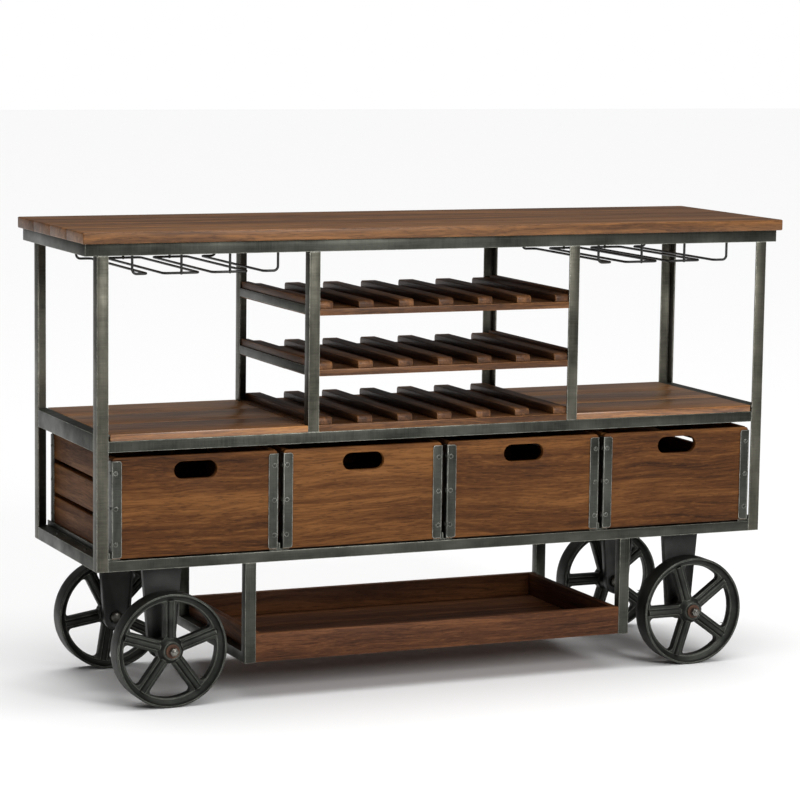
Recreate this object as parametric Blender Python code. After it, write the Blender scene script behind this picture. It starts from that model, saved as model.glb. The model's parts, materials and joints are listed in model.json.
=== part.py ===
"""Industrial bar cart on wheels: a wooden top on a welded steel angle frame, a wine rack between two
stemware racks, four sliding crates, a hanging tray and four cast wheels.

Metres, +Z up. X runs along the cart, the front faces -Y, and the origin is on the floor under the
middle of the cart.
"""

import math

import bmesh
import bpy
from mathutils import Matrix, Vector

# ---------------------------------------------------------------- driving dimensions
TOP_LENGTH = 1.500
TOP_DEPTH = 0.432
TOP_THICKNESS = 0.022
TOP_EDGE_RADIUS = 0.003
CART_HEIGHT = 0.920
END_OVERHANG = 0.0074       # wooden top past the top ring, at each end
FRONT_OVERHANG = 0.013      # wooden top past the top ring, front and back

STEEL = 0.003               # leg thickness of every steel angle
TOUCH = 0.0003              # gap between pieces that touch
POST_LEG = 0.023            # leg width of the corner posts
RING_OVERHANG = 0.0231      # top ring past the corner posts, at each end
RING_HEIGHT = 0.0235        # face height of the top ring
RAIL_PAST_POST = 0.002      # flat leg of the middle and lower rails past the posts, where the rails meet

MID_RAIL_BOTTOM = 0.502
MID_RAIL_HEIGHT = 0.021
MID_END_RAIL_HEIGHT = 0.034
LOW_RAIL_BOTTOM = 0.273
LOW_RAIL_HEIGHT = 0.0205
LOW_END_RAIL_HEIGHT = 0.025

MID_POST_LEG = 0.0223
MID_POST_HALF_SPAN = 0.291  # middle of the cart to the outer face of a middle post
SHELF_THICKNESS = 0.013
SHELF_END_GAP = 0.002       # shelf board to the flat leg of the end rail

TIER_BOTTOMS = (0.6315, 0.7495)
TIER_ANGLE_RISE = 0.003     # underside of a tier to the underside of its side angles
TIER_ANGLE_HEIGHT = 0.0165
TIER_ANGLE_LEG = 0.016
SLAT_COUNT = 7
SLAT_WIDTH = 0.031
SLAT_HEIGHT = 0.0145
SLAT_INSET = 0.0131         # inner edge of a middle post to the centre of the outermost slat
SLAT_NOSE = 0.006           # radius of a slat's front and back ends
SIDE_STRIP_WIDTH = 0.0155
SIDE_STRIP_HEIGHT = 0.020

WIRE_DIAMETER = 0.005
RACK_DROP = 0.061           # underside of the wooden top to the wire level
RACK_HANGERS = 4
RACK_PITCH = 0.0983
RACK_HOOK = 0.030           # inward reach of an outer hanger
RACK_LOOP = 0.072           # width of a middle hanger's loop
RACK_BEND = 0.008
RACK_BAR_WIDTH = 0.007
RACK_BAR_THICKNESS = 0.003
RACK_BAR_END = 0.010        # cross bar past the outermost upright
RACK_BAR_GAP = 0.0005       # cross bar to the flat leg of the top ring

CRATE_COUNT = 4
CRATE_GAP = 0.010
CRATE_SIDE_GAP = 0.0005     # outermost crates to the end guides
CRATE_DEPTH = 0.390
CRATE_FRONT = 0.0005        # wooden front of a crate ahead of the frame's face
CRATE_HEADROOM = 0.011
CRATE_WALL = 0.012
CRATE_BOTTOM = 0.009
CRATE_CORNER = 0.006
HAND_HOLE_WIDTH = 0.088
HAND_HOLE_HEIGHT = 0.0345
HAND_HOLE_DROP = 0.012      # top of a crate to the top of its hand hole
SIDE_SLOT_END = 0.016       # end of a side slot to the front or back of its crate, behind a strap
SIDE_SLOT_HEIGHT = 0.009
SIDE_SLOT_DROPS = (0.058, 0.126)
STRAP_THICKNESS = 0.0015
STRAP_LEG = 0.020
STRAP_END_GAP = 0.006       # end of a strap to the top of its crate
STRAP_FOOT_GAP = 0.0015
RIVET_RADIUS = 0.0035
RIVET_HEIGHT = 0.0018
RIVET_INSET = 0.008
RIVET_DROPS = (0.029, 0.097, 0.1655)

GUIDE_THICKNESS = 0.0034    # plate under the crates
GUIDE_LEG = 0.015           # plate reach under a crate
GUIDE_FIN_RISE = 0.0108     # fin above the bottom of the crates

WHEEL_RADIUS = 0.1115
WHEEL_WIDTH = 0.044
WHEEL_INSET = 0.151         # corner post face to the wheel's middle
WHEEL_SPOKES = 5
WHEEL_FACETS = 40
WHEEL_FACE_OUT = 0.004      # wheel's outer face ahead of the frame's face
RIM_DEPTH = 0.0125
RIM_STEP = 0.0045
TREAD_EASE = 0.002
SPOKE_WIDTH = 0.027
SPOKE_THICKNESS = 0.018
SPOKE_RIB_WIDTH = 0.012
SPOKE_RIB_HEIGHT = 0.006
SPOKE_ROOT = 0.004          # spoke's end inside the hub
HUB_RADIUS = 0.024
HUB_FACETS = 20

AXLE_RADIUS = 0.005
AXLE_CLEARANCE = 0.0004
AXLE_END = 0.005            # bolt past its nut
WASHER_RADIUS = 0.0136
WASHER_THICKNESS = 0.0025
NUT_RADIUS = 0.0085
NUT_HEIGHT = 0.010
AXLE_HEAD_RADIUS = 0.013
AXLE_HEAD_HEIGHT = 0.008
AXLE_OVERLAP = 0.0005       # shaft and nut into the pieces next to them
AXLE_FACETS = 20
BRACKET_GAP = 0.0005        # wheel hub to bracket
BRACKET_TO_WHEEL = 0.018    # wheel's inner face to the bracket's plate
BRACKET_PLATE = 0.004
BRACKET_DEPTH = 0.014
BRACKET_TOP_WIDTH = 0.083
BRACKET_END_RADIUS = 0.027
BEAM_WIDTH = 0.100
BEAM_THICKNESS = 0.005

TRAY_HALF_LENGTH = 0.3965
TRAY_BOTTOM = 0.076
TRAY_HEIGHT = 0.056
TRAY_WALL = 0.014
TRAY_FLOOR = 0.010
HANGER_WIDTH = 0.022
HANGER_DEPTH = 0.020
HANGER_RAIL_HEIGHT = 0.020
HANGER_DROP = 0.001         # tray bottom to hanger bottom

# ---------------------------------------------------------------- derived levels and faces
TOP_BOTTOM = CART_HEIGHT - TOP_THICKNESS
FRAME_Y = TOP_DEPTH / 2 - FRONT_OVERHANG
RING_X = TOP_LENGTH / 2 - END_OVERHANG
POST_X = RING_X - RING_OVERHANG
RING_TOP = TOP_BOTTOM - TOUCH
RING_BOTTOM = RING_TOP - RING_HEIGHT
POST_TOP = RING_BOTTOM - TOUCH
RAIL_LEG = POST_LEG + RAIL_PAST_POST
MID_RAIL_TOP = MID_RAIL_BOTTOM + MID_RAIL_HEIGHT
LOW_RAIL_TOP = LOW_RAIL_BOTTOM + LOW_RAIL_HEIGHT
SHELF_BOTTOM = MID_RAIL_TOP + TOUCH
SHELF_TOP = SHELF_BOTTOM + SHELF_THICKNESS
SHELF_X = POST_X - RAIL_LEG - SHELF_END_GAP
MID_INNER_X = MID_POST_HALF_SPAN - STEEL - TOUCH
MID_OPEN_X = MID_POST_HALF_SPAN - MID_POST_LEG
SLAT_PITCH = 2 * (MID_OPEN_X - SLAT_INSET) / (SLAT_COUNT - 1)
BAY_CENTRE = (POST_X - POST_LEG + MID_POST_HALF_SPAN) / 2
RACK_WIRE_Y = FRAME_Y - POST_LEG - RACK_BAR_GAP - RACK_BAR_WIDTH / 2

GUIDE_BOTTOM = LOW_RAIL_TOP + TOUCH
CRATE_BOTTOM_Z = GUIDE_BOTTOM + GUIDE_THICKNESS + TOUCH
CRATE_TOP_Z = MID_RAIL_BOTTOM - CRATE_HEADROOM
CRATE_HEIGHT = CRATE_TOP_Z - CRATE_BOTTOM_Z
GUIDE_FACE_X = POST_X - RAIL_LEG - TOUCH      # outer face of the end guides
CRATE_SPAN = 2 * (GUIDE_FACE_X - STEEL - CRATE_SIDE_GAP)
CRATE_WIDTH = (CRATE_SPAN - (CRATE_COUNT - 1) * CRATE_GAP) / CRATE_COUNT
CRATE_PITCH = CRATE_WIDTH + CRATE_GAP
STRAP_SKIN = STRAP_THICKNESS + TOUCH
CRATE_BOX_WIDTH = CRATE_WIDTH - 2 * STRAP_SKIN
CRATE_FRONT_Y = -FRAME_Y - CRATE_FRONT

WHEEL_X = POST_X - WHEEL_INSET
WHEEL_Y = FRAME_Y + WHEEL_FACE_OUT - WHEEL_WIDTH / 2
BEAM_TOP = LOW_RAIL_TOP - STEEL - TOUCH
BEAM_BOTTOM = BEAM_TOP - BEAM_THICKNESS
BRACKET_Y = WHEEL_WIDTH / 2 + BRACKET_TO_WHEEL      # plate face from the wheel's middle plane
HUB_INNER = BRACKET_Y - BRACKET_GAP
HUB_OUTER = -WHEEL_WIDTH / 2

WOOD_TOP = ("top_wood", (0.17, 0.115, 0.075), 0.42, 0.0)
WOOD_CRATE = ("crate_wood", (0.16, 0.065, 0.028), 0.55, 0.0)
WOOD_SHELF = ("shelf_wood", (0.15, 0.055, 0.025), 0.55, 0.0)
FRAME_STEEL = ("frame_steel", (0.075, 0.080, 0.075), 0.45, 0.9)
STRAP_STEEL = ("strap_steel", (0.10, 0.105, 0.10), 0.45, 0.9)
BLACK_STEEL = ("black_steel", (0.02, 0.02, 0.02), 0.55, 0.6)
CAST_IRON = ("cast_iron", (0.03, 0.032, 0.03), 0.6, 0.8)
AXLE_STEEL = ("axle_steel", (0.09, 0.06, 0.04), 0.6, 0.7)


# ---------------------------------------------------------------- modelling helpers
def clear_scene():
    """Empties the file, so that the cart is all that it holds."""
    for old in list(bpy.data.objects):
        bpy.data.objects.remove(old, do_unlink=True)


def material(finish):
    """Returns the Principled material of a finish, made once."""
    name, colour, roughness, metallic = finish
    made = bpy.data.materials.get(name)
    if made is None:
        made = bpy.data.materials.new(name)
        made.use_nodes = True
        shader = made.node_tree.nodes["Principled BSDF"]
        shader.inputs["Base Color"].default_value = (*colour, 1.0)
        shader.inputs["Roughness"].default_value = roughness
        shader.inputs["Metallic"].default_value = metallic
    return made


def solid(bm):
    """Turns a bmesh into an object whose faces point out."""
    bmesh.ops.recalc_face_normals(bm, faces=bm.faces)
    mesh = bpy.data.meshes.new("solid")
    bm.to_mesh(mesh)
    bm.free()
    made = bpy.data.objects.new("solid", mesh)
    bpy.context.scene.collection.objects.link(made)
    return made


def block(low, high):
    """A box between two corners."""
    bm = bmesh.new()
    bmesh.ops.create_cube(bm, size=1.0)
    low, high = Vector(low), Vector(high)
    bmesh.ops.scale(bm, vec=high - low, verts=bm.verts)
    bmesh.ops.translate(bm, vec=(low + high) / 2, verts=bm.verts)
    return solid(bm)


def prism(outline, axis, start, end):
    """An outline extruded along an axis: (y, z) points along X, (x, z) along Y, (x, y) along Z."""
    place = {
        "X": lambda u, v: (start, u, v),
        "Y": lambda u, v: (u, start, v),
        "Z": lambda u, v: (u, v, start),
    }[axis]
    along = {"X": Vector((1, 0, 0)), "Y": Vector((0, 1, 0)), "Z": Vector((0, 0, 1))}[axis]
    bm = bmesh.new()
    face = bm.faces.new([bm.verts.new(place(u, v)) for u, v in outline])
    grown = bmesh.ops.extrude_face_region(bm, geom=[face])
    moved = [item for item in grown["geom"] if isinstance(item, bmesh.types.BMVert)]
    bmesh.ops.translate(bm, vec=along * (end - start), verts=moved)
    return solid(bm)


def arc(centre, radius, start, end, steps):
    """Points on an arc, angles in degrees."""
    return [
        (centre[0] + radius * math.cos(math.radians(start + (end - start) * i / steps)),
         centre[1] + radius * math.sin(math.radians(start + (end - start) * i / steps)))
        for i in range(steps + 1)
    ]


def turned(profile, facets):
    """A closed (radius, y) profile spun round the Y axis, with a facet flat at the very bottom.

    Radii are those of the facets' flats, so the corners stand a little outside them.
    """
    bm = bmesh.new()
    grow = 1 / math.cos(math.pi / facets)
    verts = [bm.verts.new((radius * grow, y, 0)) for radius, y in profile]
    edges = [bm.edges.new(pair) for pair in zip(verts, verts[1:] + verts[:1])]
    turn = Matrix.Rotation(math.pi / 2 + math.pi / facets, 3, "Y")
    bmesh.ops.rotate(bm, cent=(0, 0, 0), matrix=turn, verts=bm.verts)
    bmesh.ops.spin(bm, geom=verts + edges, cent=(0, 0, 0), axis=(0, 1, 0), angle=2 * math.pi,
                   steps=facets, use_merge=True)
    return solid(bm)


def cylinder(radius, y_start, y_end, facets):
    """A solid cylinder on the Y axis."""
    bm = bmesh.new()
    turn = Matrix.Rotation(math.pi / 2, 4, "X") @ Matrix.Rotation(math.pi / facets, 4, "Z")
    place = Matrix.Translation((0, (y_start + y_end) / 2, 0)) @ turn
    bmesh.ops.create_cone(bm, cap_ends=True, segments=facets, radius1=radius, radius2=radius,
                          depth=abs(y_end - y_start), matrix=place)
    return solid(bm)


def wire(points, closed=False):
    """A round wire through points, with flat ends."""
    curve = bpy.data.curves.new("wire", "CURVE")
    curve.dimensions = "3D"
    curve.bevel_depth = WIRE_DIAMETER / 2
    curve.bevel_resolution = 2
    curve.use_fill_caps = True
    spline = curve.splines.new("POLY")
    spline.points.add(len(points) - 1)
    for point, place in zip(spline.points, points):
        point.co = (*place, 1.0)
    spline.use_cyclic_u = closed
    made = bpy.data.objects.new("wire", curve)
    bpy.context.scene.collection.objects.link(made)
    bpy.context.view_layer.update()
    evaluated = made.evaluated_get(bpy.context.evaluated_depsgraph_get())
    bm = bmesh.new()
    bm.from_mesh(evaluated.to_mesh())
    evaluated.to_mesh_clear()
    bpy.data.objects.remove(made, do_unlink=True)
    bmesh.ops.remove_doubles(bm, verts=bm.verts, dist=1e-6)
    return solid(bm)


def combine(target, others, operation):
    """Joins other solids to a target, or cuts them out of it, and keeps the one mesh that is left."""
    for other in others:
        step = target.modifiers.new(operation.lower(), "BOOLEAN")
        step.operation = operation
        step.solver = "EXACT"
        step.object = other
    bpy.context.view_layer.update()
    evaluated = target.evaluated_get(bpy.context.evaluated_depsgraph_get())
    mesh = bpy.data.meshes.new_from_object(evaluated)
    target.modifiers.clear()
    target.data = mesh
    for other in others:
        bpy.data.objects.remove(other, do_unlink=True)
    return target


def join(pieces):
    """One solid from overlapping solids."""
    return combine(pieces[0], pieces[1:], "UNION")


def cut(target, cutters):
    """A solid less its cutters."""
    return combine(target, cutters, "DIFFERENCE")


def name_node(made, name, finish, smooth=False):
    """Gives a finished solid its name, its material and its shading."""
    made.name = name
    made.data.name = name
    made.data.materials.clear()
    made.data.materials.append(material(finish))
    if smooth:
        made.data.shade_smooth()
        made.data.set_sharp_from_angle(angle=math.radians(35))
    return made


def copy_node(source, name, location=(0, 0, 0), rotation=(0, 0, 0), parent=None):
    """Another object with the same mesh, at its own place."""
    made = bpy.data.objects.new(name, source.data)
    bpy.context.scene.collection.objects.link(made)
    made.location = location
    made.rotation_euler = rotation
    made.parent = parent
    return made


def empty(name, location):
    """A named empty that carries the pieces of one moving group."""
    made = bpy.data.objects.new(name, None)
    bpy.context.scene.collection.objects.link(made)
    made.location = location
    return made


def angle_outline(leg_u, leg_v, thickness=STEEL):
    """An L section with its outer corner at (0, 0) and its legs along +u and +v."""
    return [(0, 0), (leg_u, 0), (leg_u, thickness), (thickness, thickness), (thickness, leg_v), (0, leg_v)]


def grown_angle(leg, extra):
    """The L section of a post with a gap all round, used to notch what fits the post."""
    inner = STEEL + extra
    reach = leg + extra
    return [(-extra, -extra), (reach, -extra), (reach, inner), (inner, inner), (inner, reach), (-extra, reach)]


def quarter_turned(outline, x, y, quarter):
    """An outline turned by quarters about (0, 0), then moved to (x, y)."""
    turns = [lambda u, v: (u, v), lambda u, v: (-v, u), lambda u, v: (-u, -v), lambda u, v: (v, -u)]
    return [(x + turns[quarter](u, v)[0], y + turns[quarter](u, v)[1]) for u, v in outline]


CORNERS = (("front_left", -1, -1, 0), ("front_right", 1, -1, 1), ("back_right", 1, 1, 2), ("back_left", -1, 1, 3))


# ---------------------------------------------------------------- frame
def build_posts():
    """Four corner posts and four middle posts, all equal-legged steel angle."""
    corner = prism(angle_outline(POST_LEG, POST_LEG), "Z", 0, POST_TOP - LOW_RAIL_BOTTOM)
    middle = prism(angle_outline(MID_POST_LEG, MID_POST_LEG), "Z", 0, POST_TOP - MID_RAIL_TOP - TOUCH)
    name_node(corner, "corner_post_pattern", FRAME_STEEL)
    name_node(middle, "middle_post_pattern", FRAME_STEEL)
    for place, side_x, side_y, quarter in CORNERS:
        turn = (0, 0, quarter * math.pi / 2)
        copy_node(corner, f"corner_post_{place}", (side_x * POST_X, side_y * FRAME_Y, LOW_RAIL_BOTTOM), turn)
        copy_node(middle, f"middle_post_{place}",
                  (side_x * MID_POST_HALF_SPAN, side_y * FRAME_Y, MID_RAIL_TOP + TOUCH), turn)
    for pattern in (corner, middle):
        bpy.data.objects.remove(pattern, do_unlink=True)


def long_rail(side, half_x, low, high, leg):
    """A rail along X with its tall leg outside and its flat leg on top, side -1 for the front."""
    face = side * FRAME_Y
    outline = [(face, low), (face, high), (face - side * leg, high), (face - side * leg, high - STEEL),
               (face - side * STEEL, high - STEEL), (face - side * STEEL, low)]
    return prism(outline, "X", -half_x, half_x)


def end_rail(side, face_x, half_y, low, high, leg):
    """A rail along Y with its tall leg outside and its flat leg on top."""
    face = side * face_x
    outline = [(face, low), (face, high), (face - side * leg, high), (face - side * leg, high - STEEL),
               (face - side * STEEL, high - STEEL), (face - side * STEEL, low)]
    return prism(outline, "Y", -half_y, half_y)


def post_notches(low, high, leg=POST_LEG, x=None):
    """Cutters that leave room for the four posts through a ring or a board."""
    x = POST_X if x is None else x
    outline = grown_angle(leg, TOUCH)
    return [prism(quarter_turned(outline, side_x * x, side_y * FRAME_Y, quarter), "Z", low, high)
            for _, side_x, side_y, quarter in CORNERS]


def build_top_ring():
    """The ring of angle under the wooden top, wider than the posts."""
    rails = [long_rail(side, RING_X, RING_BOTTOM, RING_TOP, POST_LEG) for side in (-1, 1)]
    rails += [end_rail(side, RING_X, FRAME_Y, RING_BOTTOM, RING_TOP, POST_LEG) for side in (-1, 1)]
    name_node(join(rails), "top_ring", FRAME_STEEL)


def build_rail_ring(name, bottom, height, end_height):
    """A welded ring of rails between the corner posts, its end rails taller than the long ones."""
    rails = [long_rail(side, POST_X, bottom, bottom + height, RAIL_LEG) for side in (-1, 1)]
    rails += [end_rail(side, POST_X, FRAME_Y, bottom, bottom + end_height, RAIL_LEG) for side in (-1, 1)]
    ring = cut(join(rails), post_notches(bottom - STEEL, bottom + end_height + STEEL))
    name_node(ring, name, FRAME_STEEL)


def build_top():
    """The wooden top, with its edges eased."""
    top = block((-TOP_LENGTH / 2, -TOP_DEPTH / 2, TOP_BOTTOM), (TOP_LENGTH / 2, TOP_DEPTH / 2, CART_HEIGHT))
    ease = top.modifiers.new("eased_edges", "BEVEL")
    ease.width = TOP_EDGE_RADIUS
    ease.segments = 2
    name_node(top, "table_top", WOOD_TOP)


# ---------------------------------------------------------------- shelves and wine tiers
def slat(x, low, high, half_y):
    """A slat from front to back with rounded noses at both ends."""
    nose = SLAT_NOSE
    outline = [(-half_y, low), (half_y, low)]
    outline += arc((half_y - nose, high - nose), nose, 0, 90, 4)
    outline += arc((-half_y + nose, high - nose), nose, 90, 180, 4)
    return prism(outline, "X", x - SLAT_WIDTH / 2, x + SLAT_WIDTH / 2)


def slats_on(level, half_y):
    """The row of slats that keeps bottles apart, bedded a little into its board for the glue."""
    bed = STEEL / 2
    return [slat((i - (SLAT_COUNT - 1) / 2) * SLAT_PITCH, level - bed, level + SLAT_HEIGHT, half_y)
            for i in range(SLAT_COUNT)]


def mid_notches(low, high):
    """Room for the four middle posts."""
    return post_notches(low, high, MID_POST_LEG, MID_POST_HALF_SPAN)


def build_shelf():
    """Three boards on the middle ring, the centre one with the lowest row of slats."""
    outer_edge = MID_POST_HALF_SPAN + TOUCH
    for name, low_x, high_x in (("shelf_board_left", -SHELF_X, -outer_edge),
                                ("shelf_board_right", outer_edge, SHELF_X)):
        name_node(block((low_x, -FRAME_Y, SHELF_BOTTOM), (high_x, FRAME_Y, SHELF_TOP)), name, WOOD_SHELF)
    centre = block((-MID_INNER_X, -FRAME_Y, SHELF_BOTTOM), (MID_INNER_X, FRAME_Y, SHELF_TOP))
    centre = cut(centre, mid_notches(SHELF_BOTTOM - STEEL, SHELF_TOP + STEEL))
    slat_half = FRAME_Y - STEEL - TOUCH
    name_node(join([centre] + slats_on(SHELF_TOP, slat_half)), "shelf_board_centre", WOOD_SHELF)


def build_tiers():
    """Two tiers of the wine rack, each a slatted board held by a steel angle at both sides."""
    inside_y = FRAME_Y - MID_POST_LEG - TOUCH
    for number, bottom in enumerate(TIER_BOTTOMS, start=1):
        angle_low = bottom + TIER_ANGLE_RISE
        top = bottom + SHELF_THICKNESS
        board = block((-MID_INNER_X, -FRAME_Y, bottom), (MID_INNER_X, FRAME_Y, top))
        strips = [block((min(side * MID_INNER_X, side * (MID_INNER_X - SIDE_STRIP_WIDTH)), -inside_y, top - STEEL),
                        (max(side * MID_INNER_X, side * (MID_INNER_X - SIDE_STRIP_WIDTH)), inside_y,
                         top + SIDE_STRIP_HEIGHT)) for side in (-1, 1)]
        board = join([board] + strips + slats_on(top, FRAME_Y - STEEL - TOUCH))
        rebate_x = MID_POST_HALF_SPAN - TIER_ANGLE_LEG - TOUCH
        rebates = [block((min(side * rebate_x, side * MID_POST_HALF_SPAN), -FRAME_Y - STEEL, bottom - STEEL),
                         (max(side * rebate_x, side * MID_POST_HALF_SPAN), FRAME_Y + STEEL,
                          angle_low + STEEL + TOUCH)) for side in (-1, 1)]
        board = cut(board, rebates + mid_notches(bottom - STEEL, top + SLAT_HEIGHT + STEEL))
        name_node(board, f"wine_tier_{number}", WOOD_SHELF)
        for side, word in ((-1, "left"), (1, "right")):
            face = side * MID_POST_HALF_SPAN
            outline = [(face + side * -u, angle_low + v) for u, v in angle_outline(TIER_ANGLE_LEG, TIER_ANGLE_HEIGHT)]
            name_node(prism(outline, "Y", -inside_y, inside_y), f"tier_{number}_angle_{word}", FRAME_STEEL)


# ---------------------------------------------------------------- stemware racks
def rounded_path(corners, closed=False):
    """Points along straight runs whose corners are bent to RACK_BEND."""
    points = []
    count = len(corners)
    for i, corner in enumerate(corners):
        corner = Vector(corner)
        if not closed and i in (0, count - 1):
            points.append(corner)
            continue
        before = (Vector(corners[i - 1]) - corner).normalized()
        after = (Vector(corners[(i + 1) % count]) - corner).normalized()
        middle = corner + (before + after) * RACK_BEND
        for step in range(5):
            swing = math.radians(90 * step / 4)
            points.append(middle - after * RACK_BEND * math.cos(swing) - before * RACK_BEND * math.sin(swing))
    return points


def build_glass_racks():
    """Two racks of bent wire that hold stemware by its feet, under the wooden top."""
    level = TOP_BOTTOM - RACK_DROP
    rise = RING_TOP - RACK_BAR_THICKNESS / 2 - level
    depth = RACK_WIRE_Y
    half = (RACK_HANGERS - 1) / 2 * RACK_PITCH
    pieces = []
    for i in range(RACK_HANGERS):
        x = i * RACK_PITCH - half
        if i in (0, RACK_HANGERS - 1):
            reach = x + math.copysign(RACK_HOOK, -x)
            path = [(x, -depth, rise), (x, -depth, 0), (reach, -depth, 0),
                    (reach, depth, 0), (x, depth, 0), (x, depth, rise)]
            pieces.append(wire(rounded_path(path)))
            continue
        side = RACK_LOOP / 2
        loop = [(x - side, -depth, 0), (x + side, -depth, 0), (x + side, depth, 0), (x - side, depth, 0)]
        pieces.append(wire(rounded_path(loop, closed=True), closed=True))
        pieces += [wire([(x, y, 0), (x, y, rise)]) for y in (-depth, depth)]
    bar_x = half + RACK_BAR_END
    bar_top = RING_TOP - level
    pieces += [block((-bar_x, y - RACK_BAR_WIDTH / 2, bar_top - RACK_BAR_THICKNESS),
                     (bar_x, y + RACK_BAR_WIDTH / 2, bar_top)) for y in (-depth, depth)]
    rack = name_node(join(pieces), "rack_pattern", BLACK_STEEL, smooth=True)
    for word, x in (("left", -BAY_CENTRE), ("right", BAY_CENTRE)):
        copy_node(rack, f"glass_rack_{word}", (x, 0, level))
    bpy.data.objects.remove(rack, do_unlink=True)


# ---------------------------------------------------------------- crates
def stadium(width, height, centre, steps=6):
    """A slot outline with round ends."""
    radius = height / 2
    run = width / 2 - radius
    u, v = centre
    return arc((u + run, v), radius, -90, 90, steps) + arc((u - run, v), radius, 90, 270, steps)


def crate_box():
    """The wooden box of a crate: front face at y = 0, underside at z = 0, middle at x = 0."""
    half, depth, height = CRATE_BOX_WIDTH / 2, CRATE_DEPTH, CRATE_HEIGHT
    corner = CRATE_CORNER
    outline = [(-half, 0), (half, 0)]
    outline += arc((half - corner, height - corner), corner, 0, 90, 3)
    outline += arc((-half + corner, height - corner), corner, 90, 180, 3)
    box = prism(outline, "Y", 0, depth)
    wall = CRATE_WALL
    cutters = [block((-half + wall, wall, CRATE_BOTTOM), (half - wall, depth - wall, height + wall))]
    hole_z = height - HAND_HOLE_DROP - HAND_HOLE_HEIGHT / 2
    cutters.append(prism(stadium(HAND_HOLE_WIDTH, HAND_HOLE_HEIGHT, (0, hole_z)), "Y", -wall, 2 * wall))
    for drop in SIDE_SLOT_DROPS:
        slot = stadium(depth - 2 * SIDE_SLOT_END, SIDE_SLOT_HEIGHT, (depth / 2, height - drop), steps=3)
        cutters.append(prism(slot, "X", -half - wall, half + wall))
    return name_node(cut(box, cutters), "crate_box_pattern", WOOD_CRATE)


def rivet(face_axis, along):
    """A low round rivet head whose foot is sunk into its strap."""
    bm = bmesh.new()
    bmesh.ops.create_cone(bm, cap_ends=True, segments=8, radius1=RIVET_RADIUS, radius2=RIVET_RADIUS * 0.55,
                          depth=RIVET_HEIGHT + STRAP_THICKNESS / 2)
    shift = (RIVET_HEIGHT + STRAP_THICKNESS / 2) / 2 - STRAP_THICKNESS / 2
    bmesh.ops.translate(bm, vec=(0, 0, shift), verts=bm.verts)
    turn = Matrix.Rotation(math.pi / 2, 3, "X") if face_axis == "Y" else Matrix.Rotation(-math.pi / 2, 3, "Y")
    bmesh.ops.rotate(bm, cent=(0, 0, 0), matrix=turn, verts=bm.verts)
    bmesh.ops.translate(bm, vec=along, verts=bm.verts)
    return solid(bm)


def crate_strap():
    """The riveted corner strap of a crate, its outer corner at (0, 0), legs along +x and +y."""
    height = CRATE_HEIGHT - STRAP_END_GAP - STRAP_FOOT_GAP
    strap = prism(angle_outline(STRAP_LEG, STRAP_LEG, STRAP_THICKNESS), "Z", 0, height)
    rivets = []
    for drop in RIVET_DROPS:
        z = CRATE_HEIGHT - drop - STRAP_FOOT_GAP
        rivets.append(rivet("Y", (RIVET_INSET, 0, z)))
        rivets.append(rivet("X", (0, RIVET_INSET, z)))
    return name_node(join([strap] + rivets), "crate_strap_pattern", STRAP_STEEL)


def build_crates():
    """Four crates in a row, each a box and two front straps that slide out to the front together."""
    box, strap = crate_box(), crate_strap()
    for i in range(CRATE_COUNT):
        x = (i - (CRATE_COUNT - 1) / 2) * CRATE_PITCH
        carrier = empty(f"crate_{i + 1}", (x, CRATE_FRONT_Y, CRATE_BOTTOM_Z))
        copy_node(box, f"crate_{i + 1}_box", parent=carrier)
        for side, word, quarter in ((-1, "left", 0), (1, "right", 1)):
            place = (side * CRATE_WIDTH / 2, -STRAP_SKIN, STRAP_FOOT_GAP)
            copy_node(strap, f"crate_{i + 1}_strap_{word}", place, (0, 0, quarter * math.pi / 2), carrier)
    for pattern in (box, strap):
        bpy.data.objects.remove(pattern, do_unlink=True)


def build_guides():
    """Steel runners under the crates: an inverted T in each gap and an angle at both ends."""
    inner_y = FRAME_Y - STEEL - TOUCH
    plate_top = GUIDE_BOTTOM + GUIDE_THICKNESS
    fin_top = CRATE_BOTTOM_Z + GUIDE_FIN_RISE
    for i in range(CRATE_COUNT + 1):
        edge = GUIDE_FACE_X - STEEL / 2
        middle = min(max((i - CRATE_COUNT / 2) * CRATE_PITCH, -edge), edge)
        reach_left = GUIDE_LEG + CRATE_GAP / 2 if i > 0 else STEEL / 2
        reach_right = GUIDE_LEG + CRATE_GAP / 2 if i < CRATE_COUNT else STEEL / 2
        plate = block((middle - reach_left, -inner_y, GUIDE_BOTTOM), (middle + reach_right, inner_y, plate_top))
        fin = block((middle - STEEL / 2, -inner_y, GUIDE_BOTTOM), (middle + STEEL / 2, inner_y, fin_top))
        name_node(join([plate, fin]), f"crate_guide_{i + 1}", FRAME_STEEL)


# ---------------------------------------------------------------- wheels, axles and brackets
def wheel_rim():
    """The rim of a wheel: a flat tread with a lip at the outer side and a step inside."""
    half, outer = WHEEL_WIDTH / 2, WHEEL_RADIUS
    lip, step = outer - RIM_DEPTH, outer - RIM_DEPTH - RIM_STEP
    inset = outer - TREAD_EASE
    profile = [(inset, -half), (outer, -half + TREAD_EASE), (outer, half - TREAD_EASE), (inset, half),
               (lip, half), (lip, half / 2), (step, half / 2), (step, -half / 2), (lip, -half / 2), (lip, -half)]
    return turned(profile, WHEEL_FACETS)


def wheel_spoke(turn):
    """One spoke from hub to rim with a rib down the middle of its outer side."""
    start, end = HUB_RADIUS - SPOKE_ROOT, WHEEL_RADIUS - RIM_DEPTH - RIM_STEP / 2
    half_y = SPOKE_THICKNESS / 2
    web = block((-SPOKE_WIDTH / 2, -half_y, start), (SPOKE_WIDTH / 2, half_y, end))
    rib = block((-SPOKE_RIB_WIDTH / 2, -half_y - SPOKE_RIB_HEIGHT, start),
                (SPOKE_RIB_WIDTH / 2, -half_y + SPOKE_RIB_HEIGHT, end - RIM_STEP))
    spoke = join([web, rib])
    spoke.data.transform(Matrix.Rotation(turn, 4, "Y"))
    return spoke


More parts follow.
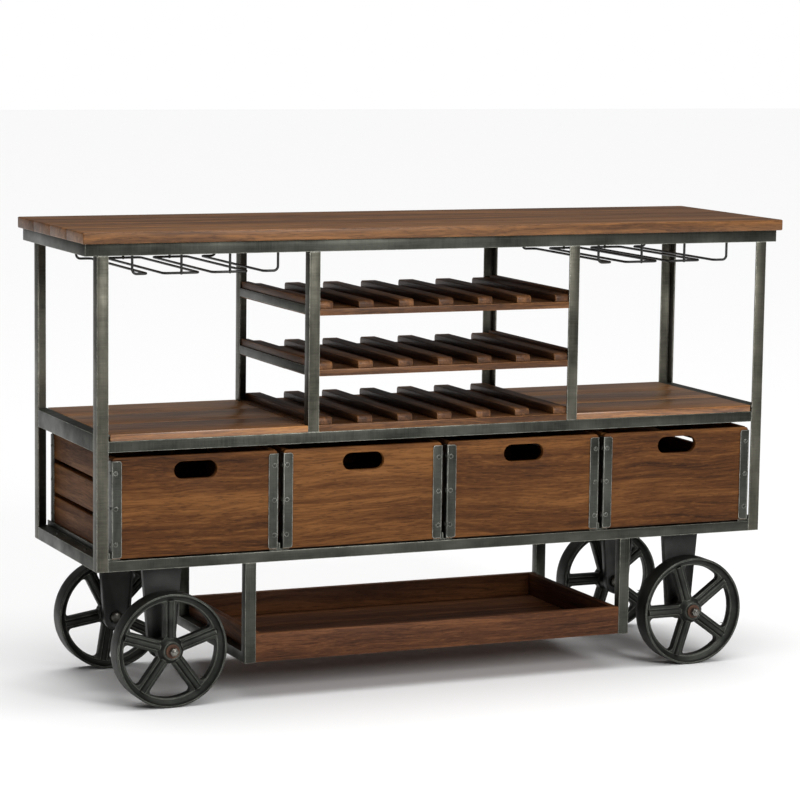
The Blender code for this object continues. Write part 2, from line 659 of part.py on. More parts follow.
def build_wheels():
    """Four spoked wheels on the Y axis through their hubs."""
    hub = cylinder(HUB_RADIUS, HUB_OUTER, HUB_INNER, HUB_FACETS)
    spokes = [wheel_spoke(2 * math.pi * i / WHEEL_SPOKES) for i in range(WHEEL_SPOKES)]
    bore = cylinder(AXLE_RADIUS + AXLE_CLEARANCE, HUB_OUTER - STEEL, HUB_INNER + STEEL, AXLE_FACETS)
    wheel = cut(join([wheel_rim(), hub] + spokes), [bore])
    name_node(wheel, "wheel_pattern", CAST_IRON, smooth=True)
    facet = 2 * math.pi / WHEEL_FACETS
    phases = {"front_left": 0, "front_right": -2, "back_right": 2, "back_left": 3}
    for place, side_x, side_y, _ in CORNERS:
        turn = (0, phases[place] * facet, 0 if side_y < 0 else math.pi)
        copy_node(wheel, f"wheel_{place}", (side_x * WHEEL_X, side_y * WHEEL_Y, WHEEL_RADIUS), turn)
    bpy.data.objects.remove(wheel, do_unlink=True)


def build_axles():
    """The bolt that each wheel turns on: nut and washer outside, round head behind the bracket."""
    washer_face = HUB_OUTER - TOUCH
    nut_face = washer_face - WASHER_THICKNESS
    plate_back = BRACKET_Y + BRACKET_PLATE + TOUCH
    bolt_end = nut_face - NUT_HEIGHT - AXLE_END
    shaft = cylinder(AXLE_RADIUS, bolt_end, plate_back + AXLE_OVERLAP, AXLE_FACETS)
    pieces = [
        cylinder(WASHER_RADIUS, nut_face, washer_face, AXLE_FACETS),
        cylinder(NUT_RADIUS, nut_face - NUT_HEIGHT, nut_face + AXLE_OVERLAP, 6),
        cylinder(AXLE_HEAD_RADIUS, plate_back, plate_back + AXLE_HEAD_HEIGHT, AXLE_FACETS),
    ]
    axle = name_node(join([shaft] + pieces), "axle_pattern", AXLE_STEEL, smooth=True)
    for place, side_x, side_y, _ in CORNERS:
        turn = (0, 0, 0 if side_y < 0 else math.pi)
        copy_node(axle, f"axle_bolt_{place}", (side_x * WHEEL_X, side_y * WHEEL_Y, WHEEL_RADIUS), turn)
    bpy.data.objects.remove(axle, do_unlink=True)


def bracket_outline(inset):
    """The tapered outline of a bracket with its round end about the axle, moved in by an inset."""
    rise = BEAM_BOTTOM - TOUCH - WHEEL_RADIUS
    half_top, radius = BRACKET_TOP_WIDTH / 2, BRACKET_END_RADIUS
    lean = math.degrees(math.atan2(half_top - radius, rise))
    top = rise - inset
    half = half_top - inset
    outline = [(half, top), (-half, top)]
    outline += arc((0, 0), radius - inset, 180 + lean, 360 - lean, 10)
    return outline


def build_brackets():
    """Pressed steel brackets behind the wheels: a tapered plate with a rim folded inward all round."""
    back = BRACKET_Y + BRACKET_DEPTH
    bracket = prism(bracket_outline(0), "Y", BRACKET_Y, back)
    hollow = prism(bracket_outline(BRACKET_PLATE), "Y", BRACKET_Y + BRACKET_PLATE, back + BRACKET_PLATE)
    hole = cylinder(AXLE_RADIUS + AXLE_CLEARANCE, BRACKET_Y - STEEL, BRACKET_Y + 2 * BRACKET_PLATE, AXLE_FACETS)
    name_node(cut(bracket, [hollow, hole]), "bracket_pattern", BLACK_STEEL, smooth=True)
    for place, side_x, side_y, _ in CORNERS:
        turn = (0, 0, 0 if side_y < 0 else math.pi)
        copy_node(bracket, f"wheel_bracket_{place}", (side_x * WHEEL_X, side_y * WHEEL_Y, WHEEL_RADIUS), turn)
    bpy.data.objects.remove(bracket, do_unlink=True)


def build_beams():
    """Two flat plates from front rail to back rail that carry the wheel brackets."""
    inner_y = FRAME_Y - STEEL - TOUCH
    for side, word in ((-1, "left"), (1, "right")):
        middle = side * WHEEL_X
        name_node(block((middle - BEAM_WIDTH / 2, -inner_y, BEAM_BOTTOM),
                        (middle + BEAM_WIDTH / 2, inner_y, BEAM_TOP)), f"axle_beam_{word}", BLACK_STEEL)


# ---------------------------------------------------------------- hanging tray
def build_tray():
    """The long open tray between its two steel hanger frames."""
    x, y = TRAY_HALF_LENGTH, FRAME_Y
    top = TRAY_BOTTOM + TRAY_HEIGHT
    hollow = block((-x + TRAY_WALL, -y + TRAY_WALL, TRAY_BOTTOM + TRAY_FLOOR),
                   (x - TRAY_WALL, y - TRAY_WALL, top + TRAY_WALL))
    tray = cut(block((-x, -y, TRAY_BOTTOM), (x, y, top)), [hollow])
    name_node(tray, "tray_box", WOOD_CRATE)
    low = TRAY_BOTTOM - HANGER_DROP
    high = LOW_RAIL_BOTTOM - TOUCH
    for side, word in ((-1, "left"), (1, "right")):
        near, far = x + TOUCH, x + TOUCH + HANGER_WIDTH
        low_x, high_x = min(side * near, side * far), max(side * near, side * far)
        frame = block((low_x, -y, low), (high_x, y, high))
        opening = block((low_x - STEEL, -y + HANGER_DEPTH, low + HANGER_RAIL_HEIGHT),
                        (high_x + STEEL, y - HANGER_DEPTH, high + STEEL))
        name_node(cut(frame, [opening]), f"tray_hanger_{word}", FRAME_STEEL)


def build_cart():
    """Builds the whole cart."""
    clear_scene()
    build_top()
    build_top_ring()
    build_rail_ring("middle_ring", MID_RAIL_BOTTOM, MID_RAIL_HEIGHT, MID_END_RAIL_HEIGHT)
    build_rail_ring("lower_ring", LOW_RAIL_BOTTOM, LOW_RAIL_HEIGHT, LOW_END_RAIL_HEIGHT)
    build_posts()
    build_shelf()
    build_tiers()
    build_glass_racks()
    build_crates()
    build_guides()
    build_wheels()
    build_axles()
    build_brackets()
    build_beams()
    build_tray()


build_cart()
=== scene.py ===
"""The looks of an industrial bar cart: stained boards, gunmetal steel angle and cast spoked wheels.

Every piece is shaped around the fixed frame, takes its place from the frame's nodes, and rides on
one of the frame's bodies. Metres, +Z up, the front faces -Y.
"""

import json
import logging
import math
from collections.abc import Callable, Iterable, Sequence
from dataclasses import dataclass, field
from enum import Enum

import bmesh
import bpy
from mathutils import Matrix, Vector


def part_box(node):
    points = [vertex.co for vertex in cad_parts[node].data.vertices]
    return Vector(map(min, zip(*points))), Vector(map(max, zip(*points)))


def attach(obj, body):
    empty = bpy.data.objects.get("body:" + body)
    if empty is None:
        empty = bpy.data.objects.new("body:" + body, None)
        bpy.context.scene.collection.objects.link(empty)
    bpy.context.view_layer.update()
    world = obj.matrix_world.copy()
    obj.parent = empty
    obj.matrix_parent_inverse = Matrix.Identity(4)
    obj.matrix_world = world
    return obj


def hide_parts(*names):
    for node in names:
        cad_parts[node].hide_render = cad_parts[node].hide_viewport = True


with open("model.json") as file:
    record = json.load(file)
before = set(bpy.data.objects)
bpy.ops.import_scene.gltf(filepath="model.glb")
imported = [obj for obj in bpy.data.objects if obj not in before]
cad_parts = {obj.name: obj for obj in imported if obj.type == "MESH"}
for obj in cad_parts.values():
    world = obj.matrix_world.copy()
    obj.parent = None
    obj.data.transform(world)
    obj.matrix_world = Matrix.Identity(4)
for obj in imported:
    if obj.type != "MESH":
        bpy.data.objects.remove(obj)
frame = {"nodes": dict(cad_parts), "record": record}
log = logging.getLogger("bar_cart")

Point = tuple[float, float]
Colour = tuple[float, ...]
Shell = bmesh.types.BMesh
Edge = bmesh.types.BMEdge
Node = bpy.types.Node
Socket = bpy.types.NodeSocket

ROOT = "cart_frame"
MM = 0.001


class Axis(Enum):
    """A direction of the cart's frame."""

    X = 0
    Y = 1
    Z = 2

    def unit(self) -> Vector:
        """The unit vector along the axis."""
        return Vector([1.0 if i == self.value else 0.0 for i in range(3)])

    def place(self, u: float, v: float, w: float) -> Vector:
        """A point from its two coordinates across the axis and the one along it."""
        return Vector({Axis.X: (w, u, v), Axis.Y: (u, w, v), Axis.Z: (u, v, w)}[self])


def shade(red: int, green: int, blue: int) -> Colour:
    """A linear colour from the 0 to 255 values that a paint chart gives.

    Args:
        red, green, blue: display values.

    Returns:
        The same colour in linear light, fully opaque.
    """
    def linear(value: float) -> float:
        return value / 12.92 if value <= 0.04045 else ((value + 0.055) / 1.055) ** 2.4

    return (*[linear(value / 255) for value in (red, green, blue)], 1.0)


def placed(name: str, data: bpy.types.ID) -> bpy.types.Object:
    """A new object in the scene that holds some data."""
    made = bpy.data.objects.new(name, data)
    bpy.context.scene.collection.objects.link(made)
    return made


def in_mm(*points: Point) -> list[Point]:
    """Points given in millimetres."""
    return [(u * MM, v * MM) for u, v in points]


def apart(side: int, near: float, far: float) -> list[float]:
    """Two distances from the middle on one side, in rising order."""
    return sorted((side * near, side * far))


# ---------------------------------------------------------------- shaping
def arc(centre: Point, radius: float, start: float, end: float, steps: int) -> list[Point]:
    """Points on an arc.

    Args:
        centre: middle of the arc.
        radius: its radius.
        start, end: angles in degrees.
        steps: number of chords.

    Returns:
        The points from start to end.
    """
    angles = [math.radians(start + (end - start) * i / steps) for i in range(steps + 1)]
    return [(centre[0] + radius * math.cos(a), centre[1] + radius * math.sin(a)) for a in angles]


def strips(low: float, high: float, count: int, seam: float) -> list[Point]:
    """A width cut into equal strips that stand back from each other's seams.

    Args:
        low, high: ends of the width.
        count: number of strips.
        seam: how far a strip's edge stands back from its neighbour's line.

    Returns:
        Where each strip starts and ends.
    """
    width = (high - low) / count
    return [(low + i * width + (seam if i else 0.0), low + (i + 1) * width - (seam if i < count - 1 else 0.0))
            for i in range(count)]


def rounded_rectangle(low: Point, high: Point, radii: Sequence[float], steps: int = 4) -> list[Point]:
    """A rectangle's outline with its own radius at each corner.

    Args:
        low, high: opposite corners.
        radii: for the corners low-low, high-low, high-high and low-high; 0 keeps a corner sharp.
        steps: chords in each rounded corner.

    Returns:
        The outline, anticlockwise.
    """
    corners = [(low[0], low[1], 1, 1), (high[0], low[1], -1, 1), (high[0], high[1], -1, -1),
               (low[0], high[1], 1, -1)]
    outline: list[Point] = []
    for index, ((x, y, sx, sy), radius) in enumerate(zip(corners, radii)):
        if radius <= 0:
            outline.append((x, y))
        else:
            start = 180 + 90 * index
            outline += arc((x + sx * radius, y + sy * radius), radius, start, start + 90, steps)
    return outline


def stadium(width: float, height: float, centre: Point, steps: int = 8) -> list[Point]:
    """The outline of a slot with round ends.

    Args:
        width, height: overall size; the height is twice the end radius.
        centre: middle of the slot.
        steps: chords in each end.

    Returns:
        The outline, anticlockwise.
    """
    radius, run = height / 2, width / 2 - height / 2
    u, v = centre
    return arc((u + run, v), radius, -90, 90, steps) + arc((u - run, v), radius, 90, 270, steps)


def box(low: Sequence[float], high: Sequence[float]) -> Shell:
    """A box between two corners."""
    bm = bmesh.new()
    low, high = Vector(low), Vector(high)
    bmesh.ops.create_cube(bm, size=1.0)
    bmesh.ops.scale(bm, vec=high - low, verts=bm.verts)
    bmesh.ops.translate(bm, vec=(low + high) / 2, verts=bm.verts)
    return bm


def prism(outline: Sequence[Point], axis: Axis, start: float, end: float) -> Shell:
    """An outline extruded along an axis.

    Args:
        outline: points across the axis.
        axis: direction of the extrusion.
        start, end: where it begins and ends on the axis.

    Returns:
        The closed solid.
    """
    bm = bmesh.new()
    face = bm.faces.new([bm.verts.new(axis.place(u, v, start)) for u, v in outline])
    grown = bmesh.ops.extrude_face_region(bm, geom=[face])["geom"]
    moved = [item for item in grown if isinstance(item, bmesh.types.BMVert)]
    bmesh.ops.translate(bm, vec=axis.unit() * (end - start), verts=moved)
    bmesh.ops.recalc_face_normals(bm, faces=bm.faces)
    return bm


def turned(profile: Sequence[Point], steps: int) -> Shell:
    """A closed (radius, y) profile spun round the Y axis.

    Args:
        profile: the section, every radius above zero.
        steps: facets round the axis.

    Returns:
        The closed ring.
    """
    bm = bmesh.new()
    verts = [bm.verts.new((radius, y, 0)) for radius, y in profile]
    edges = [bm.edges.new(pair) for pair in zip(verts, verts[1:] + verts[:1])]
    bmesh.ops.spin(bm, geom=verts + edges, cent=(0, 0, 0), axis=(0, 1, 0), angle=2 * math.pi,
                   steps=steps, use_merge=True)
    bmesh.ops.recalc_face_normals(bm, faces=bm.faces)
    return bm


def dome(radius: float, height: float, centre: Sequence[float], outward: Sequence[float]) -> Shell:
    """A round rivet or bolt head standing on a face.

    Args:
        radius: at its foot.
        height: above the face.
        centre: middle of its foot.
        outward: the face's normal.

    Returns:
        The head, with its lower half sunk into the face.
    """
    bm = bmesh.new()
    bmesh.ops.create_uvsphere(bm, u_segments=16, v_segments=8, radius=1.0)
    bmesh.ops.scale(bm, vec=(radius, radius, height), verts=bm.verts)
    turn = Vector((0, 0, 1)).rotation_difference(Vector(outward)).to_matrix()
    bmesh.ops.rotate(bm, cent=(0, 0, 0), matrix=turn, verts=bm.verts)
    bmesh.ops.translate(bm, vec=Vector(centre), verts=bm.verts)
    return bm


def held(bm: Shell) -> bpy.types.Object:
    """A passing object that holds a shell for one modifier."""
    mesh = bpy.data.meshes.new("held")
    bm.to_mesh(mesh)
    bm.free()
    return placed("held", mesh)


def carved(base: Shell, cutters: Iterable[Shell]) -> Shell:
    """A solid less its cutters.

    Args:
        base: the solid.
        cutters: closed solids to take away.

    Returns:
        The carved solid.
    """
    target = held(base)
    tools = [held(cutter) for cutter in cutters]
    for tool in tools:
        step = target.modifiers.new("carve", "BOOLEAN")
        step.operation = "DIFFERENCE"
        step.solver = "EXACT"
        step.object = tool
    bpy.context.view_layer.update()
    mesh = bpy.data.meshes.new_from_object(target.evaluated_get(bpy.context.evaluated_depsgraph_get()))
    bm = bmesh.new()
    bm.from_mesh(mesh)
    for used in [target, *tools]:
        old = used.data
        bpy.data.objects.remove(used, do_unlink=True)
        bpy.data.meshes.remove(old)
    bpy.data.meshes.remove(mesh)
    return bm


def ease(bm: Shell, width: float, segments: int = 2, sharp: float = 30.0,
         keep: Callable[[Edge], bool] | None = None) -> None:
    """Rounds the sharp edges of a shell.

    Args:
        bm: the shell.
        width: size of the rounding.
        segments: facets across it.
        sharp: edges that turn by more than this, in degrees, are rounded.
        keep: picks the edges to round; all of the sharp ones if left out.
    """
    limit = math.radians(sharp)
    edges = [e for e in bm.edges if len(e.link_faces) == 2 and e.calc_face_angle(0.0) > limit
             and (keep is None or keep(e))]
    bmesh.ops.bevel(bm, geom=edges, offset=width, offset_type="OFFSET", affect="EDGES", segments=segments,
                    profile=0.5, material=-1, clamp_overlap=True)


def node_copy(node: str) -> Shell:
    """A merged copy of a frame node, its flat faces made whole again."""
    bm = bmesh.new()
    bm.from_mesh(frame["nodes"][node].data)
    bmesh.ops.remove_doubles(bm, verts=bm.verts, dist=0.01 * MM)
    bmesh.ops.dissolve_limit(bm, angle_limit=math.radians(1.0), verts=bm.verts, edges=bm.edges,
                             use_dissolve_boundaries=False)
    bmesh.ops.recalc_face_normals(bm, faces=bm.faces)
    return bm


class Piece:
    """A visible piece made of one or more shells, each with its own run of grain."""

    CRISP = math.radians(35.0)      # edges that turn by more than this are shaded sharp

    def __init__(self, name: str) -> None:
        """Starts an empty piece.

        Args:
            name: the finished object's name.
        """
        self.name = name
        self.bm = bmesh.new()
        self.shells = 0

    def add(self, shell: Shell, along: Axis = Axis.X, seed: float = 0.0) -> None:
        """Joins a shell to the piece and writes its grain coordinates and its tone.

        Args:
            shell: the closed shell, which is used up.
            along: the way its grain or brushing runs.
            seed: picks the stretch of grain that it is cut from.
        """
        self.shells += 1
        pick = seed * 7.31 + self.shells * 1.73
        offset = Vector((pick * 0.61 % 5.0, pick * 0.37 % 3.0, pick * 0.23 % 2.0))
        grain = shell.verts.layers.float_vector.new("grain")
        tone = shell.verts.layers.float.new("tone")
        first, second = [other for other in Axis if other is not along]
        for vert in shell.verts:
            place = Vector((vert.co[along.value], vert.co[first.value], vert.co[second.value]))
            vert[grain] = place + offset
            vert[tone] = pick * 0.754877 % 1.0
        mesh = bpy.data.meshes.new("shell")
        shell.to_mesh(mesh)
        shell.free()
        self.bm.from_mesh(mesh)
        bpy.data.meshes.remove(mesh)

    def finish(self, finish: "Finish", body: str, *nodes: str) -> None:
        """Makes the object, dresses it and lets it ride.

        Args:
            finish: its material and the record's slot.
            body: the frame body that it rides on.
            nodes: the frame nodes that it stands for.
        """
        mesh = bpy.data.meshes.new(self.name)
        self.bm.to_mesh(mesh)
        self.bm.free()
        mesh.shade_smooth()
        mesh.set_sharp_from_angle(angle=self.CRISP)
        mesh.materials.append(finish.material())
        made = placed(self.name, mesh)
        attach(made, body)
        if nodes:
            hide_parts(*nodes)
        log.info("%s: %d shells, %d faces", self.name, self.shells, len(mesh.polygons))


# ---------------------------------------------------------------- shader graphs
class Graph:
    """Adds and joins the nodes of one shader tree."""

    def __init__(self, tree: bpy.types.NodeTree) -> None:
        """Takes the tree to build in."""
        self.tree = tree

    def add(self, kind: str, inputs: dict[str | int, object] | None = None, **settings: object) -> Node:
        """Adds a node.

        Args:
            kind: the node's class name.
            inputs: socket names or numbers with a value or the socket that feeds them.
            settings: the node's own properties.

        Returns:
            The node.
        """
        node = self.tree.nodes.new(kind)
        for name, value in settings.items():
            setattr(node, name, value)
        self.feed(node, inputs or {})
        return node

    def feed(self, node: Node, inputs: dict[str | int, object]) -> None:
        """Sets a node's inputs, each to a value or to the socket that feeds it."""
        for key, value in inputs.items():
            if isinstance(value, Socket):
                self.tree.links.new(value, node.inputs[key])
            else:
                node.inputs[key].default_value = value

    def calc(self, operation: str, a: object, b: object = 0.0, clamp: bool = False) -> Socket:
        """The result of one sum on two numbers."""
        return self.add("ShaderNodeMath", {0: a, 1: b}, operation=operation, use_clamp=clamp).outputs[0]

    def total(self, *terms: tuple[object, float]) -> Socket:
        """The sum of some numbers, each times its weight."""
        result = self.calc("MULTIPLY", *terms[0])
        for value, weight in terms[1:]:
            result = self.calc("ADD", result, self.calc("MULTIPLY", value, weight))
        return result

    def remap(self, value: Socket, low: float, high: float, start: float = 0.0, end: float = 1.0) -> Socket:
        """A number moved from one range to another and held inside it."""
        inputs = {"Value": value, "From Min": low, "From Max": high, "To Min": start, "To Max": end}
        return self.add("ShaderNodeMapRange", inputs).outputs[0]

    def stretched(self, vector: Socket, scale: Sequence[float]) -> Socket:
        """A vector scaled by its own amount on each axis."""
        return self.add("ShaderNodeVectorMath", {0: vector, 1: tuple(scale)}, operation="MULTIPLY").outputs[0]

    def noise(self, vector: Socket, scale: Sequence[float], detail: float = 3.0,
              roughness: float = 0.55) -> Socket:
        """Noise on a stretched vector, as a number about 0.5."""
        inputs = {"Vector": self.stretched(vector, scale), "Scale": 1.0, "Detail": detail,
                  "Roughness": roughness}
        return self.add("ShaderNodeTexNoise", inputs).outputs["Fac"]

    def ramp(self, factor: Socket, stops: Sequence[tuple[float, float]]) -> Socket:
        """A number remapped through straight lines between stops."""
        node = self.add("ShaderNodeValToRGB", {"Fac": factor})
        elements = node.color_ramp.elements
        while len(elements) < len(stops):
            elements.new(0.5)
        for element, (place, value) in zip(elements, stops):
            element.position = place
            element.color = (value, value, value, 1.0)
        return node.outputs["Color"]

    def mix(self, factor: object, a: object, b: object) -> Socket:
        """Two colours mixed."""
        node = self.add("ShaderNodeMix", {0: factor, 6: a, 7: b}, data_type="RGBA", clamp_factor=True)
        return node.outputs[2]


def shared_group(name: str, inputs: dict[str, str], outputs: dict[str, str],
                 build: Callable[[Graph, Node, Node], None]) -> bpy.types.NodeTree:
    """A node group that is built the first time that it is asked for.

    Args:
        name: its name.
        inputs, outputs: socket names and socket types.
        build: joins the group's input node to its output node.

    Returns:
        The group.
    """
    tree = bpy.data.node_groups.get(name)
    if tree is None:
        tree = bpy.data.node_groups.new(name, "ShaderNodeTree")
        for side, sockets in (("INPUT", inputs), ("OUTPUT", outputs)):
            for socket, kind in sockets.items():
                tree.interface.new_socket(name=socket, in_out=side, socket_type=kind)
        graph = Graph(tree)
        build(graph, graph.add("NodeGroupInput"), graph.add("NodeGroupOutput"))
    return tree


FLOAT, COLOUR, VECTOR = "NodeSocketFloat", "NodeSocketColor", "NodeSocketVector"


def build_wood_figure(g: Graph, source: Node, sink: Node) -> None:
    """Growth streaks, arches, pores and painted glints along the grain, from three stain colours."""
    grain = source.outputs["Grain"]
    bend = g.add("ShaderNodeTexNoise", {"Vector": g.stretched(grain, (1.8, 6, 6)), "Scale": 1.0,
                                        "Detail": 2.0})
    pull = g.add("ShaderNodeVectorMath", {0: bend.outputs["Color"], 1: (0.5, 0.5, 0.5)}, operation="SUBTRACT")
    shift = g.stretched(pull.outputs[0], (0.0, 0.07, 0.07))
    bent = g.add("ShaderNodeVectorMath", {0: grain, 1: shift}, operation="ADD").outputs[0]
    broad = g.noise(bent, (1.4, 15, 15), 2.0)
    streak = g.noise(bent, (3.6, 85, 85), 4.0, 0.62)
    fibre = g.noise(bent, (15, 340, 340), 3.0, 0.65)
    rings = g.add("ShaderNodeTexWave", {"Vector": g.stretched(bent, (0.35, 14, 14)), "Scale": 1.7,
                                        "Distortion": 4.0, "Detail": 2.0, "Detail Scale": 1.5},
                  wave_type="BANDS", bands_direction="DIAGONAL", wave_profile="SAW")
    pores = g.ramp(g.noise(grain, (60, 430, 430), 2.0, 0.5), ((0.54, 0.0), (0.70, 1.0)))
    painted_glints = g.ramp(g.noise(bent, (48, 380, 380), 2.0, 0.5), ((0.56, 0.0), (0.72, 1.0)))
    tone = g.calc("SUBTRACT", source.outputs["Tone"], 0.5)
    base = g.total((broad, 0.40), (streak, 0.34), (fibre, 0.30), (rings.outputs["Fac"], 0.06), (tone, 0.08))
    colour = g.mix(g.remap(base, 0.40, 0.55), source.outputs["Dark"], source.outputs["Mid"])
    colour = g.mix(g.remap(base, 0.55, 0.70), colour, source.outputs["Light"])
    # painted highlight: fine glints of the light stain stand in for light catching the fibres
    colour = g.mix(g.calc("MULTIPLY", painted_glints, 0.30), colour, source.outputs["Light"])
    colour = g.mix(g.calc("MULTIPLY", pores, 0.42), colour, source.outputs["Pore"])
    g.feed(sink, {"Colour": colour, "Streak": base, "Relief": g.total((fibre, 0.5), (pores, -0.7))})


def build_edge_wear_and_highlight(g: Graph, source: Node, sink: Node) -> None:
    """A mask of the raised edges, broken up by noise: partly where hands and tools have rubbed them, partly a
    painted highlight where they catch the light.
    """
    soft = g.add("ShaderNodeBevel", {"Radius": source.outputs["Radius"]}, samples=4)
    true = g.add("ShaderNodeNewGeometry")
    open_air = g.add("ShaderNodeAmbientOcclusion", {"Distance": source.outputs["Radius"]}, samples=6,
                     only_local=True)
    raised = g.ramp(open_air.outputs["AO"], ((0.72, 0.0), (0.95, 1.0)))
    dot = g.add("ShaderNodeVectorMath", {0: soft.outputs["Normal"], 1: true.outputs["Normal"]},
                operation="DOT_PRODUCT")
    turn = g.calc("SUBTRACT", 1.0, dot.outputs["Value"])
    # painted highlight: this edge band lightens bevels partly as rubbed wear and partly as light caught on
    # the edges
    worn_and_lit = g.ramp(turn, ((0.01, 0.0), (0.14, 1.0)))
    broken = g.ramp(g.noise(source.outputs["Place"], (55, 55, 55), 4.0, 0.65), ((0.32, 0.25), (0.62, 1.0)))
    amount = g.calc("MULTIPLY", worn_and_lit, g.calc("MULTIPLY", broken, raised))
    g.feed(sink, {"Mask": g.calc("MULTIPLY", amount, source.outputs["Amount"], clamp=True)})


def build_steel_patina(g: Graph, source: Node, sink: Node) -> None:
    """Clouded, brushed and lightly scratched bare metal."""
    grain = source.outputs["Grain"]
    cloud = g.noise(grain, (9, 14, 14), 5.0, 0.6)
    brush = g.noise(grain, (7, 900, 900), 3.0, 0.6)
    cross = g.noise(grain, (420, 16, 16), 2.0, 0.55)
    speck = g.ramp(g.noise(grain, (260, 260, 260), 3.0, 0.6), ((0.60, 0.0), (0.74, 1.0)))
    value = g.remap(g.total((cloud, 0.95), (brush, 0.28), (cross, 0.24)), 0.52, 0.96)
    colour = g.mix(value, source.outputs["Dark"], source.outputs["Light"])
    colour = g.mix(g.calc("MULTIPLY", speck, 0.4), colour, source.outputs["Dark"])
    g.feed(sink, {"Colour": colour, "Cloud": value, "Relief": g.total((brush, 0.5), (cross, 0.5))})


@dataclass(frozen=True)
class Finish:
    """What every finish shares: a name and the record's slot that it belongs to."""

    name: str
    slot: str

    def material(self) -> bpy.types.Material:
        """The finish's material, made once."""
        made = bpy.data.materials.get(self.name)
        if made is None:
            made = bpy.data.materials.new(self.name)
            made.use_nodes = True
            graph = Graph(made.node_tree)
            self.dress(graph, made.node_tree.nodes["Principled BSDF"])
        return made

    def dress(self, g: Graph, shader: Node) -> None:
        """Joins the finish's nodes to its shader."""
        raise NotImplementedError

    @staticmethod
    def attribute(g: Graph, name: str, output: str) -> Socket:
        """One of a piece's own attributes."""
        return g.add("ShaderNodeAttribute", attribute_name=name).outputs[output]

    @staticmethod
    def edge_wear_and_highlight(g: Graph, radius: float, amount: float) -> Socket:
        """The mask of the lightened edges: partly worn, partly painted highlight."""
        tree = shared_group("edge_wear_and_highlight", {"Place": VECTOR, "Radius": FLOAT, "Amount": FLOAT}, {"Mask": FLOAT},
                            build_edge_wear_and_highlight)
        place = g.add("ShaderNodeTexCoord").outputs["Object"]
        inputs = {"Place": place, "Radius": radius, "Amount": amount}
        return g.add("ShaderNodeGroup", inputs, node_tree=tree).outputs["Mask"]

    @staticmethod
    def bump(g: Graph, shader: Node, height: Socket, strength: float, distance: float) -> None:
        """Gives the shader relief."""
        node = g.add("ShaderNodeBump", {"Height": height, "Strength": strength, "Distance": distance})
        g.feed(shader, {"Normal": node.outputs["Normal"]})


@dataclass(frozen=True)
class WoodFinish(Finish):
    """Stained wood with streaks, arches and pores along its grain."""

    dark: Colour
    mid: Colour
    light: Colour
    worn: Colour
    roughness: float = 0.5
    lacquer: float = 0.1
    gloss: float = 0.3
    wear_and_highlight: float = 0.5
    wear_and_highlight_width: float = 2.5 * MM
    pore_depth: float = 0.45
    lacquer_roughness: float = 0.28

    def dress(self, g: Graph, shader: Node) -> None:
        """Joins the figure, the worn and painted-highlight edges and the lacquer."""
        sockets = {"Grain": VECTOR, "Tone": FLOAT}
        sockets.update(dict.fromkeys(("Dark", "Mid", "Light", "Pore"), COLOUR))
        tree = shared_group("wood_figure", sockets, {"Colour": COLOUR, "Streak": FLOAT, "Relief": FLOAT},
                            build_wood_figure)
        inputs = {"Grain": self.attribute(g, "grain", "Vector"), "Tone": self.attribute(g, "tone", "Fac"),
                  "Dark": self.dark, "Mid": self.mid, "Light": self.light,
                  "Pore": (*[channel * self.pore_depth for channel in self.dark[:3]], 1.0)}
        figure = g.add("ShaderNodeGroup", inputs, node_tree=tree)
        wear_and_highlight_mask = self.edge_wear_and_highlight(g, self.wear_and_highlight_width, self.wear_and_highlight)
        rough = g.remap(figure.outputs["Streak"], 0.40, 0.70, self.roughness + 0.08, self.roughness - 0.06)
        # edges lightened partly by wear and partly by painted highlight
        g.feed(shader, {"Base Color": g.mix(wear_and_highlight_mask, figure.outputs["Colour"], self.worn), "Roughness": rough,
                        "Coat Weight": self.lacquer, "Coat Roughness": self.lacquer_roughness,
                        "Specular IOR Level": self.gloss})
        self.bump(g, shader, figure.outputs["Relief"], 0.35, 0.35 * MM)


@dataclass(frozen=True)
class SteelFinish(Finish):
    """Bare steel, clouded and brushed, with bright edges that are partly worn and partly painted highlight.
    """

    dark: Colour
    light: Colour
    worn: Colour
    roughness: float = 0.42
    metallic: float = 0.85
    wear_and_highlight: float = 0.8
    wear_and_highlight_width: float = 1.6 * MM
    relief: float = 0.3

    def dress(self, g: Graph, shader: Node) -> None:
        """Joins the patina and the worn and painted-highlight edges."""
        sockets = {"Grain": VECTOR, "Dark": COLOUR, "Light": COLOUR}
        tree = shared_group("steel_patina", sockets, {"Colour": COLOUR, "Cloud": FLOAT, "Relief": FLOAT},
                            build_steel_patina)
        inputs = {"Grain": self.attribute(g, "grain", "Vector"), "Dark": self.dark, "Light": self.light}
        patina = g.add("ShaderNodeGroup", inputs, node_tree=tree)
        wear_and_highlight_mask = self.edge_wear_and_highlight(g, self.wear_and_highlight_width, self.wear_and_highlight)
        rough = g.remap(patina.outputs["Cloud"], 0.0, 1.0, self.roughness + 0.1, self.roughness - 0.08)
        # edges lightened partly by wear and partly by painted highlight
        g.feed(shader, {"Base Color": g.mix(wear_and_highlight_mask, patina.outputs["Colour"], self.worn), "Roughness": rough,
                        "Metallic": self.metallic})
        self.bump(g, shader, patina.outputs["Relief"], self.relief, 0.12 * MM)


